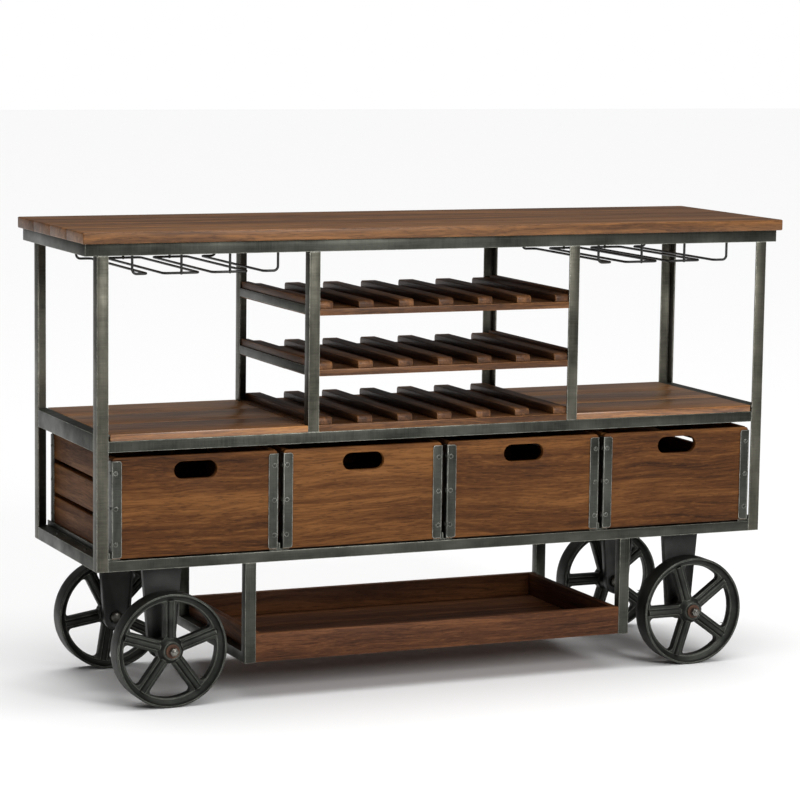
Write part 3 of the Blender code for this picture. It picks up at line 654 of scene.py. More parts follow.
@dataclass(frozen=True)
class CastFinish(Finish):
    """Sand-cast or painted metal with a fine orange-peel skin and edges lightened partly by rubbing, partly
    by painted highlight.
    """

    dark: Colour
    light: Colour
    worn: Colour
    roughness: float = 0.5
    metallic: float = 0.7
    wear_and_highlight: float = 0.7
    wear_and_highlight_width: float = 2.2 * MM
    grit: float = 700.0

    def dress(self, g: Graph, shader: Node) -> None:
        """Joins the casting skin, its dull clouds and the edges' rubbed wear and painted highlight."""
        place = g.add("ShaderNodeTexCoord").outputs["Object"]
        skin = g.noise(place, (self.grit,) * 3, 3.0, 0.6)
        cloud = g.noise(place, (16, 16, 16), 5.0, 0.62)
        value = g.remap(g.total((skin, 0.3), (cloud, 1.0)), 0.48, 0.86)
        colour = g.mix(value, self.dark, self.light)
        wear_and_highlight_mask = self.edge_wear_and_highlight(g, self.wear_and_highlight_width, self.wear_and_highlight)
        rough = g.remap(value, 0.0, 1.0, self.roughness + 0.08, self.roughness - 0.08)
        # edges lightened partly by wear and partly by painted highlight
        g.feed(shader, {"Base Color": g.mix(wear_and_highlight_mask, colour, self.worn), "Roughness": rough,
                        "Metallic": self.metallic})
        self.bump(g, shader, skin, 0.3, 0.15 * MM)


# The last colour of each finish below lightens its edges: partly real wear, partly painted edge highlight.
TOP_WOOD = WoodFinish("stained_top", "top_wood", shade(54, 34, 20), shade(97, 64, 37), shade(138, 94, 54),
                      shade(156, 102, 54), roughness=0.42, lacquer=0.12, gloss=0.2, wear_and_highlight=0.6)
# painted light: a brightened copy of the slats' wood for the side shelf boards, standing in for light on them
# under the top
LIT_SHELF_WOOD = WoodFinish("stained_shelf_painted_light", "shelf_wood", shade(84, 50, 24), shade(142, 93, 48),
                        shade(190, 134, 76), shade(196, 142, 84), roughness=0.32, lacquer=0.6, gloss=0.4,
                        wear_and_highlight=0.75)
SLAT_WOOD = WoodFinish("stained_slats", "shelf_wood", shade(44, 25, 12), shade(82, 51, 27),
                       shade(128, 85, 48), shade(176, 124, 76), roughness=0.45, gloss=0.2, wear_and_highlight=1.0)
CRATE_WOOD = WoodFinish("stained_crate", "crate_wood", shade(44, 23, 9), shade(86, 51, 22),
                        shade(124, 81, 41), shade(130, 82, 42), roughness=0.55, lacquer=0.0, gloss=0.12)
TRAY_WOOD = WoodFinish("stained_tray", "crate_wood", shade(44, 23, 12), shade(84, 50, 28), shade(122, 78, 46),
                       shade(126, 82, 50), lacquer=0.0, gloss=0.15)
POST_STEEL = SteelFinish("gunmetal_post", "frame_steel", shade(42, 42, 36), shade(98, 96, 85),
                         shade(205, 204, 192), wear_and_highlight=1.0, wear_and_highlight_width=2.4 * MM)
# painted shade: a darkened copy of the posts' steel for the rails and other non-post steel, standing for the
# shade under the top
SHADED_RAIL_STEEL = SteelFinish("gunmetal_rail_painted_shade", "frame_steel", shade(32, 33, 29), shade(76, 77, 70),
                         shade(190, 190, 178), wear_and_highlight=1.0, wear_and_highlight_width=2.4 * MM)
STRAP_STEEL = SteelFinish("gunmetal_strap", "strap_steel", shade(34, 35, 31), shade(78, 79, 73),
                          shade(214, 214, 204), roughness=0.36, wear_and_highlight=1.0, wear_and_highlight_width=2.2 * MM)
WHEEL_IRON = CastFinish("charcoal_casting", "cast_iron", shade(26, 28, 24), shade(56, 58, 53),
                        shade(150, 152, 143), wear_and_highlight=0.85, wear_and_highlight_width=2.6 * MM)
BLACK_PAINT = CastFinish("black_paint", "black_steel", shade(22, 23, 21), shade(42, 43, 40),
                         shade(78, 79, 74), roughness=0.45, metallic=0.3, wear_and_highlight=0.5, grit=900.0)
AXLE_STEEL = SteelFinish("fastener_steel", "axle_steel", shade(58, 56, 51), shade(126, 124, 117),
                         shade(206, 204, 196), roughness=0.32, metallic=0.9)
AXLE_RUST = CastFinish("rusted_washer", "axle_steel", shade(40, 26, 18), shade(84, 52, 33),
                       shade(112, 78, 54), roughness=0.7, metallic=0.2, grit=500.0)


# ---------------------------------------------------------------- sub-assemblies
@dataclass
class TableTop:
    """The wooden top: four planks glued edge to edge."""

    planks: int = 4
    seam: float = 0.15 * MM
    outer_ease: float = 2.6 * MM
    seam_ease: float = 0.5 * MM

    def build(self) -> None:
        """Shapes the planks."""
        low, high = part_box("table_top")
        piece = Piece("top_planks")

        def outer(edge: Edge) -> bool:
            """True for the edges on the top's own outline."""
            return any(all(abs(abs(v.co[i]) - high[i]) < MM for v in edge.verts) for i in (0, 1))

        for i, (start, end) in enumerate(strips(low[1], high[1], self.planks, self.seam)):
            plank = box((low[0], start, low[2]), (high[0], end, high[2]))
            ease(plank, self.seam_ease, keep=lambda edge: not outer(edge))
            ease(plank, self.outer_ease, segments=3, sharp=50, keep=outer)
            piece.add(plank, Axis.X, seed=3 + i)
        piece.finish(TOP_WOOD, ROOT, "table_top")


@dataclass
class SteelFrame:
    """Posts, rings, side angles, crate guides, hangers, beams and brackets of angle and flat bar."""

    ease: float = 0.3 * MM
    standing: tuple[str, ...] = ("corner_post", "middle_post", "tray_hanger")
    lengthwise: tuple[str, ...] = ("tier_", "crate_guide")
    painted: tuple[str, ...] = ("axle_beam", "wheel_bracket")
    corners: tuple[str, ...] = ("front_left", "front_right", "back_left", "back_right")
    bolt_radius: float = 4.5 * MM
    bolt_height: float = 2.6 * MM
    bolt_reach: float = 90 * MM

    def run_of(self, node: str) -> Axis:
        """The way a node's steel was rolled."""
        if node.startswith(self.standing):
            return Axis.Z
        return Axis.Y if node.startswith(self.lengthwise) else Axis.X

    def build(self) -> None:
        """Eases every edge of the frame's plain steel and dresses it."""
        steel_slots = {entry["node"]: entry["material_slot"] for entry in frame["record"]["subparts"]}
        for seed, (node, slot) in enumerate(sorted(steel_slots.items())):
            if slot not in ("frame_steel", "black_steel") or node.startswith("glass_rack"):
                continue
            shape = node_copy(node)
            painted = node.startswith(self.painted)
            ease(shape, self.ease * (2 if painted else 1))
            piece = Piece(f"{node}_steel")
            piece.add(shape, self.run_of(node), seed=seed)
            if node == "lower_ring":
                self.add_bolts(piece)
            # non-post steel takes the darkened copy of the steel: painted shade
            bare = POST_STEEL if node.endswith(self.corners) else SHADED_RAIL_STEEL
            piece.finish(BLACK_PAINT if painted else bare, ROOT, node)

    def add_bolts(self, piece: Piece) -> None:
        """Round bolt heads along the top of the lower ring's end rails."""
        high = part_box("lower_ring")[1]
        middle = (high[0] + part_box("crate_guide_5")[1][0]) / 2
        for side in (-1, 1):
            for y in (-self.bolt_reach, self.bolt_reach):
                centre = (side * middle, y, high[2])
                piece.add(dome(self.bolt_radius, self.bolt_height, centre, (0, 0, 1)), Axis.Y)


@dataclass
class Slats:
    """The row of slats that bottles lie between, on the centre shelf and on both wine tiers."""

    count: int = 7
    width: float = 31 * MM
    nose: float = 7 * MM
    ease: float = 1.2 * MM
    inset: float = 13.1 * MM

    def add_row(self, piece: Piece, inner_x: float, half_y: float, low: float, high: float,
                seed: int) -> None:
        """Adds a row of slats from front to back.

        Args:
            piece: the piece that they belong to.
            inner_x: inner edge of the middle posts.
            half_y: half a slat's length.
            low, high: levels of a slat's underside and top.
            seed: picks the slats' grain.
        """
        pitch = 2 * (inner_x - self.inset) / (self.count - 1)
        for i in range(self.count):
            x = (i - (self.count - 1) / 2) * pitch
            outline = rounded_rectangle((-half_y, low), (half_y, high), (0, 0, self.nose, self.nose), steps=6)
            slat = prism(outline, Axis.X, x - self.width / 2, x + self.width / 2)
            ease(slat, self.ease, segments=3)
            piece.add(slat, Axis.Y, seed=seed + i)


@dataclass
class Shelves:
    """The shelf boards on the middle ring and the two tiers of the wine rack."""

    slats: Slats = field(default_factory=Slats)
    ease: float = 1.0 * MM
    board_thickness: float = 13 * MM
    boards_deep: int = 3
    seam: float = 0.12 * MM
    seam_ease: float = 0.4 * MM
    leg: float = 3.3 * MM           # a post's leg with its gap
    leg_gap: float = 0.3 * MM
    sunk: float = 0.2 * MM          # slats and side strips into their board
    slat_rise: float = 14.5 * MM
    strip_width: float = 15.5 * MM
    strip_inset: float = 22.7 * MM  # side strip's end to the board's edge

    def board(self, piece: Piece, node: str, high_z: float, seed: int) -> None:
        """Adds a node's board as strips glued edge to edge, notched where the node is.

        Args:
            piece: the piece that it belongs to.
            node: the frame node that gives its place.
            high_z: level of the board's top.
            seed: picks its grain.
        """
        low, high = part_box(node)
        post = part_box("middle_post_front_left")
        notched = max(abs(low[0]), abs(high[0])) < abs(post[0][0])
        for i, (start, end) in enumerate(strips(low[1], high[1], self.boards_deep, self.seam)):
            strip = box((low[0], start, low[2]), (high[0], end, high_z))
            outer = i in (0, self.boards_deep - 1)
            if notched and outer:
                ys = apart(-1 if i == 0 else 1, high[1] - self.leg, high[1] + self.leg)
                cutters = []
                for side in (-1, 1):
                    xs = apart(side, abs(post[1][0]) - self.leg_gap, high[0] + 5 * MM)
                    cutters.append(box((xs[0], ys[0], low[2] - MM), (xs[1], ys[1], high_z + MM)))
                strip = carved(strip, cutters)
            ease(strip, self.ease if outer else self.seam_ease)
            piece.add(strip, Axis.X, seed=seed + i)

    def build(self) -> None:
        """Shapes the boards, the slats and the side strips."""
        inner_x = abs(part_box("middle_post_front_left")[1][0])
        for seed, side in ((11, "left"), (17, "right")):
            node = f"shelf_board_{side}"
            piece = Piece(f"{node}_planks")
            self.board(piece, node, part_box(node)[1][2], seed)
            # the side boards take the brightened copy of the wood: painted light
            piece.finish(LIT_SHELF_WOOD, ROOT, node)
        for seed, node in ((23, "shelf_board_centre"), (37, "wine_tier_1"), (53, "wine_tier_2")):
            low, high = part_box(node)
            board_top = low[2] + self.board_thickness
            piece = Piece(f"{node}_slatted")
            self.board(piece, node, board_top, seed)
            foot = board_top - self.sunk
            self.slats.add_row(piece, inner_x, high[1] - self.leg, foot, board_top + self.slat_rise, seed + 3)
            if node.startswith("wine_tier"):
                half_y = high[1] - self.strip_inset
                for side in (-1, 1):
                    xs = apart(side, high[0], high[0] - self.strip_width)
                    strip = box((xs[0], -half_y, foot), (xs[1], half_y, high[2]))
                    ease(strip, self.ease)
                    piece.add(strip, Axis.Y, seed=seed + 12 + side)
            piece.finish(SLAT_WOOD, ROOT, node)


@dataclass
class StemwareRack:
    """One rack of bent wire with two flat cross bars under the top."""

    side: str
    wire: float = 5 * MM
    hangers: int = 4
    pitch: float = 98.3 * MM
    hook: float = 30 * MM
    loop: float = 72 * MM
    depth: float = 176 * MM
    bend: float = 9 * MM
    bend_steps: int = 8
    bar_width: float = 7 * MM
    bar_height: float = 3 * MM
    bar_ease: float = 0.4 * MM

    def path(self, corners: Sequence[Sequence[float]], closed: bool) -> list[Vector]:
        """Straight runs with bent corners.

        Args:
            corners: where the runs would meet.
            closed: True for a ring of wire.

        Returns:
            Points along the wire.
        """
        points: list[Vector] = []
        count = len(corners)
        for i in range(count):
            corner = Vector(corners[i])
            if not closed and i in (0, count - 1):
                points.append(corner)
                continue
            before = (Vector(corners[i - 1]) - corner).normalized()
            after = (Vector(corners[(i + 1) % count]) - corner).normalized()
            middle = corner + (before + after) * self.bend
            for step in range(self.bend_steps + 1):
                swing = math.pi / 2 * step / self.bend_steps
                points.append(middle - (after * math.cos(swing) + before * math.sin(swing)) * self.bend)
        return points

    def add_wire(self, piece: Piece, corners: Sequence[Sequence[float]], closed: bool = False) -> None:
        """Adds one length of round wire to the rack."""
        curve = bpy.data.curves.new("wire", "CURVE")
        curve.dimensions = "3D"
        curve.bevel_depth = self.wire / 2
        curve.bevel_resolution = 4
        curve.use_fill_caps = True
        points = self.path(corners, closed)
        spline = curve.splines.new("POLY")
        spline.points.add(len(points) - 1)
        for point, place in zip(spline.points, points):
            point.co = (*place, 1.0)
        spline.use_cyclic_u = closed
        made = placed("wire", curve)
        bpy.context.view_layer.update()
        evaluated = made.evaluated_get(bpy.context.evaluated_depsgraph_get())
        bm = bmesh.new()
        bm.from_mesh(evaluated.to_mesh())
        evaluated.to_mesh_clear()
        bpy.data.objects.remove(made, do_unlink=True)
        bpy.data.curves.remove(curve)
        bmesh.ops.remove_doubles(bm, verts=bm.verts, dist=0.001 * MM)
        bmesh.ops.recalc_face_normals(bm, faces=bm.faces)
        piece.add(bm, Axis.Y)

    def build(self) -> None:
        """Bends the wires and welds them to their bars."""
        node = f"glass_rack_{self.side}"
        low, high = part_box(node)
        middle = (low[0] + high[0]) / 2
        level, top = low[2] + self.wire / 2, high[2] - self.bar_height / 2
        half = (self.hangers - 1) / 2 * self.pitch
        d = self.depth
        piece = Piece(f"{node}_wires")
        for i in range(self.hangers):
            x = middle + i * self.pitch - half
            if i in (0, self.hangers - 1):
                turn = x + math.copysign(self.hook, middle - x)
                self.add_wire(piece, [(x, -d, top), (x, -d, level), (turn, -d, level), (turn, d, level),
                                      (x, d, level), (x, d, top)])
                continue
            reach = self.loop / 2
            self.add_wire(piece, [(x - reach, -d, level), (x + reach, -d, level), (x + reach, d, level),
                                  (x - reach, d, level)], closed=True)
            for y in (-d, d):
                self.add_wire(piece, [(x, y, level), (x, y, top)])
                piece.add(dome(self.wire * 0.75, self.wire * 0.7, (x, y, level), (0, 0, 1)), Axis.Z)
        half_bar = self.bar_width / 2
        for y in (-d, d):
            bar = box((low[0], y - half_bar, high[2] - self.bar_height), (high[0], y + half_bar, high[2]))
            ease(bar, self.bar_ease)
            piece.add(bar, Axis.X)
        piece.finish(BLACK_PAINT, ROOT, node)


@dataclass
class Crate:
    """One sliding crate: a boarded box with a hand hole, open-jointed sides and riveted corner straps."""

    number: int
    wall: float = 12 * MM
    floor: float = 9 * MM
    ease: float = 1.4 * MM
    foot_corner: float = 1 * MM
    top_corner: float = 6 * MM
    joint: float = 0.1 * MM
    hole_width: float = 88 * MM
    hole_height: float = 34.5 * MM
    hole_drop: float = 12 * MM
    side_gap: float = 9 * MM
    side_gap_drops: tuple[float, float] = (58 * MM, 126 * MM)
    strap_thickness: float = 1.5 * MM
    strap_corner: float = 4.5 * MM
    strap_ease: float = 0.4 * MM
    rivet_radius: float = 3.8 * MM
    rivet_height: float = 1.7 * MM
    rivet_proud: float = 1.8 * MM
    rivet_inset: float = 8 * MM
    rivet_drops: tuple[float, float, float] = (29 * MM, 97 * MM, 165.5 * MM)

    def build(self) -> None:
        """Builds the box and its straps."""
        self.build_box()
        for side in (-1, 1):
            for front in (True, False):
                self.build_strap(side, front)

    def build_box(self) -> None:
        """The boards: front with its hand hole, back, three boards a side and the bottom."""
        node = f"crate_{self.number}_box"
        low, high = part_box(node)
        middle = (low[0] + high[0]) / 2
        seed = 70 + 9 * self.number
        radii = (self.foot_corner, self.foot_corner, self.top_corner, self.top_corner)
        piece = Piece(f"crate_{self.number}_boards")
        face = rounded_rectangle((low[0], low[2]), (high[0], high[2]), radii)
        hole_z = high[2] - self.hole_drop - self.hole_height / 2
        hole = stadium(self.hole_width, self.hole_height, (middle, hole_z))
        front = carved(prism(face, Axis.Y, low[1], low[1] + self.wall),
                       [prism(hole, Axis.Y, low[1] - self.wall, low[1] + 2 * self.wall)])
        ease(front, self.ease, segments=3)
        piece.add(front, Axis.X, seed=seed)
        back = prism(face, Axis.Y, high[1] - self.wall, high[1])
        ease(back, self.ease, segments=3)
        piece.add(back, Axis.X, seed=seed + 1)
        inside = self.wall + self.joint
        ends = [low[2]] + [high[2] - drop for drop in reversed(self.side_gap_drops)] + [high[2]]
        for side in (-1, 1):
            xs = [middle + x for x in apart(side, high[0] - middle, high[0] - middle - self.wall)]
            for i in range(3):
                start = ends[i] + (self.side_gap / 2 if i else 0.0)
                end = ends[i + 1] - (self.side_gap / 2 if i < 2 else 0.0)
                board = box((xs[0], low[1] + inside, start), (xs[1], high[1] - inside, end))
                ease(board, self.ease, segments=3)
                piece.add(board, Axis.Y, seed=seed + 4 + side + 0.7 * i)
        bottom = box((low[0] + self.wall, low[1] + self.wall, low[2] + self.joint),
                     (high[0] - self.wall, high[1] - self.wall, low[2] + self.floor))
        piece.add(bottom, Axis.X, seed=seed + 5)
        piece.finish(CRATE_WOOD, f"crate_{self.number}", node)

    def build_strap(self, side: int, front: bool) -> None:
        """A folded strap round one corner, with domed rivets.

        Args:
            side: -1 for the left corner, 1 for the right.
            front: True for a front corner, False for a back one.
        """
        word = "left" if side < 0 else "right"
        node = f"crate_{self.number}_strap_{word}"
        low, high = (list(corner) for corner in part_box(node))
        box_low, box_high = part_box(f"crate_{self.number}_box")
        proud = self.rivet_proud
        edge_x = (low[0] + proud) if side < 0 else (high[0] - proud)
        far_x = high[0] if side < 0 else low[0]
        outward = -1 if front else 1
        face_y = low[1] + proud if front else box_high[1] + box_low[1] - low[1] - proud
        reach = high[1] - low[1] - proud
        piece = Piece(f"crate_{self.number}_strap_{word if front else 'back_' + word}_riveted")

        def leaf(outline: list[Point], axis: Axis, start: float, end: float) -> None:
            """One flat half of the strap."""
            shell = prism(outline, axis, min(start, end), max(start, end))
            ease(shell, self.strap_ease, segments=3)
            piece.add(shell, Axis.Z, seed=self.number + (0.0 if axis is Axis.Y else 0.5))

        thick, round_off = self.strap_thickness, self.strap_corner
        xs = sorted((edge_x, far_x))
        radii = (0, round_off, round_off, 0) if side < 0 else (round_off, 0, 0, round_off)
        outline = rounded_rectangle((xs[0], low[2]), (xs[1], high[2]), radii)
        leaf(outline, Axis.Y, face_y, face_y - outward * thick)
        ys = sorted((face_y, face_y - outward * reach))
        radii = (0, round_off, round_off, 0) if front else (round_off, 0, 0, round_off)
        outline = rounded_rectangle((ys[0], low[2]), (ys[1], high[2]), radii)
        leaf(outline, Axis.X, edge_x, edge_x - side * thick)
        for drop in self.rivet_drops:
            z = box_high[2] - drop
            spots = (((edge_x - side * self.rivet_inset, face_y, z), (0, outward, 0)),
                     ((edge_x, face_y - outward * self.rivet_inset, z), (side, 0, 0)))
            for spot, normal in spots:
                piece.add(dome(self.rivet_radius, self.rivet_height, spot, normal), Axis.Z)
        nodes = (node,) if front else ()
        piece.finish(STRAP_STEEL, f"crate_{self.number}", *nodes)


@dataclass
class Wheel:
    """One cast wheel with five ribbed spokes, and the bolt that it turns on."""

    place: str
    phase: float
    radius: float = 111.5 * MM
    half_width: float = 22 * MM
    step_radius: float = 98 * MM
    eye_radius: float = 94 * MM
    eye_corner: float = 10 * MM
    web: float = 8.5 * MM
    spokes: int = 5
    spoke_half: float = 12.5 * MM
    fillet: float = 3.2 * MM
    rib_half: float = 7.5 * MM
    rib_crest: float = 3.6 * MM
    rib_rise: float = 6 * MM
    rib_reach: float = 97 * MM
    hub: float = 23 * MM
    sleeve: float = 39.4 * MM
    bore: float = 5.4 * MM
    steps: int = 96

    def standing(self) -> Matrix:
        """The wheel's own frame in the cart's, its outer side towards -Y before it is turned round."""
        low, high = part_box(f"wheel_{self.place}")
        back = "back" in self.place
        face = high[1] - self.half_width if back else low[1] + self.half_width
        spot = Vector(((low[0] + high[0]) / 2, face, (low[2] + high[2]) / 2))
        around = Matrix.Rotation(math.pi, 4, "Z") if back else Matrix.Identity(4)
        return Matrix.Translation(spot) @ around @ Matrix.Rotation(self.phase, 4, "Y")

    def add_cast(self, piece: Piece, shell: Shell) -> None:
        """Adds a shell modelled in the wheel's own frame."""
        bmesh.ops.transform(shell, matrix=self.standing(), verts=shell.verts)
        piece.add(shell, Axis.Z)

    def rim(self) -> Shell:
        """The rim: a worn tread, a raised lip, a shallow band and a step down to the spokes."""
        r, w, s = self.radius, self.half_width, self.step_radius
        half = [(s - 1.5 * MM, 0), (s - 1.5 * MM, w * 0.36), (s - 0.5 * MM, w * 0.42), (s + 2 * MM, w * 0.48),
                (r - 7 * MM, w * 0.60), (r - 5.2 * MM, w * 0.72), (r - 4.4 * MM, w * 0.96), (r - 3.6 * MM, w)]
        half += [(r - 1.8 * MM, w), (r - 0.6 * MM, w - 0.5 * MM), (r, w - 1.7 * MM), (r, w * 0.4)]
        mirrored = [(radius, -y) for radius, y in reversed(half[1:])]
        return turned(half + mirrored, self.steps)

    def eye(self, turn: float) -> Shell:
        """The cutter of one rounded opening between two spokes.

        Args:
            turn: angle of the spoke before it, in radians.

        Returns:
            The cutter.
        """
        sector = 2 * math.pi / self.spokes
        lean = math.asin(self.spoke_half / self.eye_radius)
        reach = self.spoke_half / math.sin(sector / 2)
        outline = [(reach * math.cos(turn + sector / 2), reach * math.sin(turn + sector / 2))]
        start, end = math.degrees(turn + lean), math.degrees(turn + sector - lean)
        outline += arc((0, 0), self.eye_radius, start, end, 10)
        bm = prism(outline, Axis.Y, -self.half_width, self.half_width)
        ease(bm, self.eye_corner, segments=6, sharp=40,
             keep=lambda edge: abs(edge.verts[0].co.y - edge.verts[1].co.y) > MM)
        return bm

    def spoke_web(self) -> Shell:
        """The plate with five rounded openings, all its edges filleted."""
        outline = arc((0, 0), self.step_radius, 0, 360 - 360 / self.steps, self.steps - 1)
        plate = prism(outline, Axis.Y, -self.web, self.web)
        sector = 2 * math.pi / self.spokes
        plate = carved(plate, [self.eye(math.pi / 2 + i * sector) for i in range(self.spokes)])

        def inside(edge: Edge) -> bool:
            """True for the openings' own edges."""
            return all(math.hypot(v.co.x, v.co.z) < self.step_radius - MM for v in edge.verts)

        ease(plate, self.fillet, segments=3, keep=inside)
        return plate

    def spoke_rib(self, turn: float, side: int) -> Shell:
        """A ridge down the middle of a spoke, lower towards the rim.

        Args:
            turn: angle of the spoke from straight up, in radians.
            side: -1 for the outer face, 1 for the inner.

        Returns:
            The ridge.
        """
        base, crest = self.rib_half, self.rib_crest
        rise = self.rib_rise if side < 0 else self.rib_rise * 0.6
        root = self.web - 2 * MM
        top = side * (self.web + rise)
        section = [(-base, side * root), (-crest, top), (crest, top), (base, side * root)]
        bm = prism(section, Axis.Z, self.hub * 0.6, self.rib_reach)
        ease(bm, 2.2 * MM, segments=3, keep=lambda edge: abs(edge.verts[0].co.z - edge.verts[1].co.z) > MM)
        bmesh.ops.rotate(bm, cent=(0, 0, 0), matrix=Matrix.Rotation(turn, 3, "Y"), verts=bm.verts)
        return bm

    def hub_boss(self) -> Shell:
        """The hub with a dished outer face and a long inner sleeve."""
        r, w, inner = self.hub, self.half_width, self.sleeve
        profile = [(self.bore, -w + 1.0 * MM), (14.4 * MM, -w + 1.0 * MM), (14.4 * MM, -w + 0.3 * MM),
                   (15.2 * MM, -w), (17.2 * MM, -w), (18.6 * MM, -w + 1.0 * MM), (21.5 * MM, -w + 5.5 * MM),
                   (r, -w + 8.5 * MM), (r + 3.5 * MM, -self.web - 1 * MM), (r + 3.5 * MM, self.web + 1 * MM),
                   (r, w * 0.62), (r - 2 * MM, inner - 2 * MM), (r - 4 * MM, inner), (self.bore, inner)]
        return turned(profile, self.steps // 2)

    def build(self) -> None:
        """Casts the wheel."""
        piece = Piece(f"wheel_{self.place}_casting")
        self.add_cast(piece, self.rim())
        self.add_cast(piece, self.spoke_web())
        self.add_cast(piece, self.hub_boss())
        for i in range(self.spokes):
            for side in (-1, 1):
                self.add_cast(piece, self.spoke_rib(2 * math.pi * i / self.spokes, side))
        piece.finish(WHEEL_IRON, f"wheel_{self.place}", f"wheel_{self.place}")
        self.build_axle()

    def build_axle(self) -> None:
        """The axle bolt with its rusted washer, chamfered nut, thread end and round inner head."""
        node = f"axle_bolt_{self.place}"
        low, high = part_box(node)
        back = "back" in self.place
        end = Vector(((low[0] + high[0]) / 2, high[1] if back else low[1], (low[2] + high[2]) / 2))

        def stand(shell: Shell) -> Shell:
            """Moves a turned shell, whose y counts inward from the bolt's end, to its place."""
            if back:
                around = Matrix.Rotation(math.pi, 3, "Z")
                bmesh.ops.rotate(shell, cent=(0, 0, 0), matrix=around, verts=shell.verts)
            bmesh.ops.translate(shell, vec=end, verts=shell.verts)
            return shell

        length = (high[1] - low[1]) / MM
        core, head_radius, thread_radius = 0.6, 13, 4.9
        thread = [(core, 0), (3.6, 0), (4.6, 1.0)]
        for i in range(5):
            thread += [(thread_radius, 1.3 + i), (thread_radius - 0.6, 1.8 + i)]
        thread += [(thread_radius, 8), (thread_radius, length - 6), (core, length - 6)]
        bolt = Piece(f"{node}_bolt")
        bolt.add(stand(turned(in_mm(*thread), 32)), Axis.Y)
        nut = prism(arc((0, 0), 8.5 * MM, 0, 300, 5), Axis.Y, 5 * MM, 15 * MM)
        ease(nut, 0.9 * MM, segments=3)
        bolt.add(stand(nut), Axis.Y)
        head = in_mm((core, length - 8), (head_radius, length - 8), (head_radius, length - 5),
                     (head_radius - 2, length - 2), (head_radius - 6, length - 0.4), (core, length))
        bolt.add(stand(turned(head, 32)), Axis.Y)
        bolt.finish(AXLE_STEEL, ROOT, node)
        washer = in_mm((5.2, 15.1), (13, 15.1), (13.6, 15.7), (13.6, 17), (13, 17.5), (5.2, 17.5))
        rusty = Piece(f"{node}_washer")
        rusty.add(stand(turned(washer, 48)), Axis.Y)
        rusty.finish(AXLE_RUST, ROOT)


@dataclass
class Tray:
    """The long wooden tray between its hangers."""

    wall: float = 14 * MM
    floor: float = 10 * MM
    ease: float = 1.2 * MM
    floor_boards: int = 3
    floor_ease: float = 0.5 * MM
    joint: float = 0.1 * MM

    def build(self) -> None:
        """Shapes the four sides and the floor boards."""
        low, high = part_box("tray_box")
        gap = self.joint
        piece = Piece("tray_boards")
        for side in (-1, 1):
            ys = apart(side, high[1], high[1] - self.wall)
            long_side = box((low[0], ys[0], low[2]), (high[0], ys[1], high[2]))
            ease(long_side, self.ease)
            piece.add(long_side, Axis.X, seed=130 + side)
            xs = apart(side, high[0], high[0] - self.wall)
            end = box((xs[0], low[1] + self.wall + self.joint, low[2]),
                      (xs[1], high[1] - self.wall - self.joint, high[2]))
            ease(end, self.ease)
            piece.add(end, Axis.Y, seed=134 + side)
        width = (high[1] - low[1] - 2 * self.wall) / self.floor_boards
        for i in range(self.floor_boards):
            start = low[1] + self.wall + i * width
            plank = box((low[0] + self.wall, start + gap, low[2] + gap),
                        (high[0] - self.wall, start + width - gap, low[2] + self.floor))
            ease(plank, self.floor_ease)
            piece.add(plank, Axis.X, seed=140 + i)
        piece.finish(TRAY_WOOD, ROOT, "tray_box")


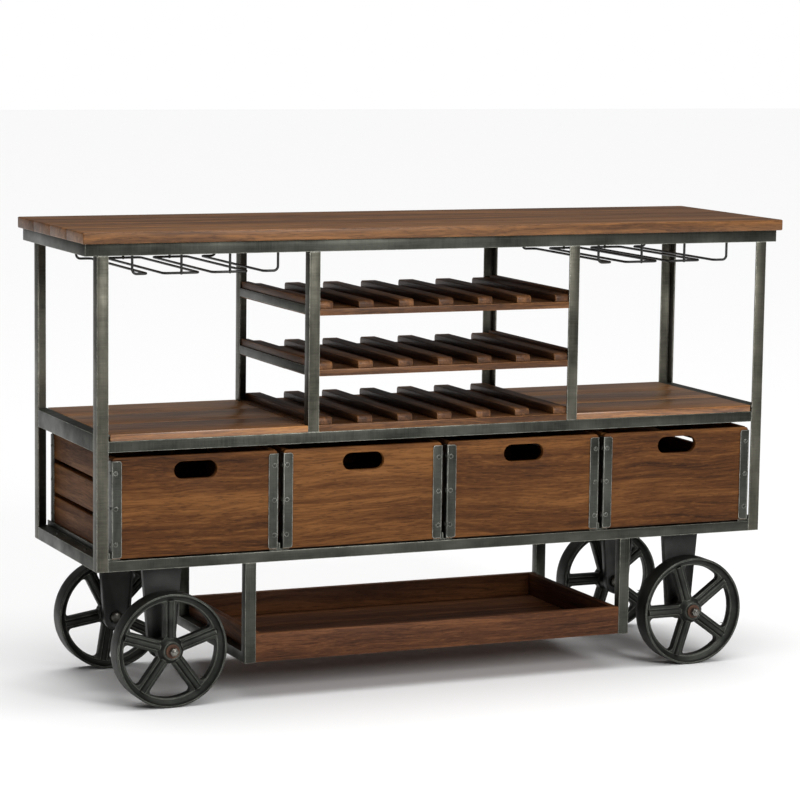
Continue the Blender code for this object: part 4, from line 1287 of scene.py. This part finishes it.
@dataclass
class Studio:
    """The pale floor, the soft lights and the camera."""

    yaw: float = 23.576
    pitch: float = 7.508
    roll: float = 0.772
    eye: tuple[float, float, float] = (-2.4428, -5.5764, 1.3514)
    lens: float = 135.62
    floor_size: float = 60.0
    ambient: float = 0.12
    overhead: float = 3.0
    overhead_spread: float = 70.0
    key_place: tuple[float, float, float] = (0.9, -4.6, 2.4)
    key_target: tuple[float, float, float] = (0.0, 0.0, 0.45)
    key_size: float = 1.8
    key_power: float = 140.0

    def build(self) -> None:
        """Sets up the studio."""
        self.add_floor()
        self.add_world()
        self.add_overhead()
        self.add_key()
        self.add_camera()
        bpy.context.scene.view_settings.view_transform = "Standard"

    def add_floor(self) -> None:
        """A wide pale floor."""
        mesh = bpy.data.meshes.new("studio_floor")
        bm = bmesh.new()
        bmesh.ops.create_grid(bm, x_segments=1, y_segments=1, size=self.floor_size / 2)
        bm.to_mesh(mesh)
        bm.free()
        floor = placed("studio_floor", mesh)
        paper = bpy.data.materials.new("pale_paper")
        paper.use_nodes = True
        shader = paper.node_tree.nodes["Principled BSDF"]
        shader.inputs["Base Color"].default_value = (0.92, 0.92, 0.92, 1.0)
        shader.inputs["Roughness"].default_value = 0.9
        mesh.materials.append(paper)

    def add_world(self) -> None:
        """An even surround: white where it is seen, dim where it lights."""
        world = bpy.data.worlds.new("surround")
        world.use_nodes = True
        background = world.node_tree.nodes["Background"]
        background.inputs["Color"].default_value = (1.0, 1.0, 1.0, 1.0)
        graph = Graph(world.node_tree)
        seen = graph.add("ShaderNodeLightPath").outputs["Is Camera Ray"]
        strength = graph.calc("ADD", graph.calc("MULTIPLY", seen, 1.0 - self.ambient), self.ambient)
        graph.feed(background, {"Strength": strength})
        bpy.context.scene.world = world

    def add_overhead(self) -> None:
        """A wide soft light from straight above, even over the whole floor."""
        data = bpy.data.lights.new("overhead", "SUN")
        data.energy = self.overhead
        data.angle = math.radians(self.overhead_spread)
        placed("overhead", data)

    def add_key(self) -> None:
        """A soft square light from the front, aimed at the cart's middle."""
        data = bpy.data.lights.new("key", "AREA")
        data.size = self.key_size
        data.energy = self.key_power
        light = placed("key", data)
        light.location = self.key_place
        look = Vector(self.key_target) - Vector(self.key_place)
        light.rotation_euler = look.to_track_quat("-Z", "Y").to_euler()

    def add_camera(self) -> None:
        """The camera, from its heading, its tilt and a slight roll."""
        yaw, pitch, roll = (math.radians(angle) for angle in (self.yaw, self.pitch, self.roll))
        ahead = Vector((math.sin(yaw) * math.cos(pitch), math.cos(yaw) * math.cos(pitch), -math.sin(pitch)))
        level = Vector((math.cos(yaw), -math.sin(yaw), 0.0))
        upright = level.cross(ahead)
        right = level * math.cos(roll) + upright * math.sin(roll)
        up = upright * math.cos(roll) - level * math.sin(roll)
        turn = Matrix((right, up, -ahead)).transposed().to_4x4()
        data = bpy.data.cameras.new("camera")
        data.lens = self.lens
        camera = placed("camera", data)
        camera.matrix_world = Matrix.Translation(self.eye) @ turn
        bpy.context.scene.camera = camera


WHEEL_PHASES = {"front_left": 0.0, "front_right": -18.0, "back_right": 18.0, "back_left": 27.0}


def main() -> None:
    """Builds the cart's pieces in order."""
    logging.basicConfig(level=logging.INFO, format="%(name)s: %(message)s")
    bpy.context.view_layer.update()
    makers = [TableTop(), SteelFrame(), Shelves(), StemwareRack("left"), StemwareRack("right"), Tray()]
    makers += [Crate(number) for number in range(1, 5)]
    makers += [Wheel(place, math.radians(phase)) for place, phase in WHEEL_PHASES.items()]
    makers.append(Studio())
    for maker in makers:
        maker.build()
        log.info("built %s", type(maker).__name__)


if __name__ == "__main__":
    main()
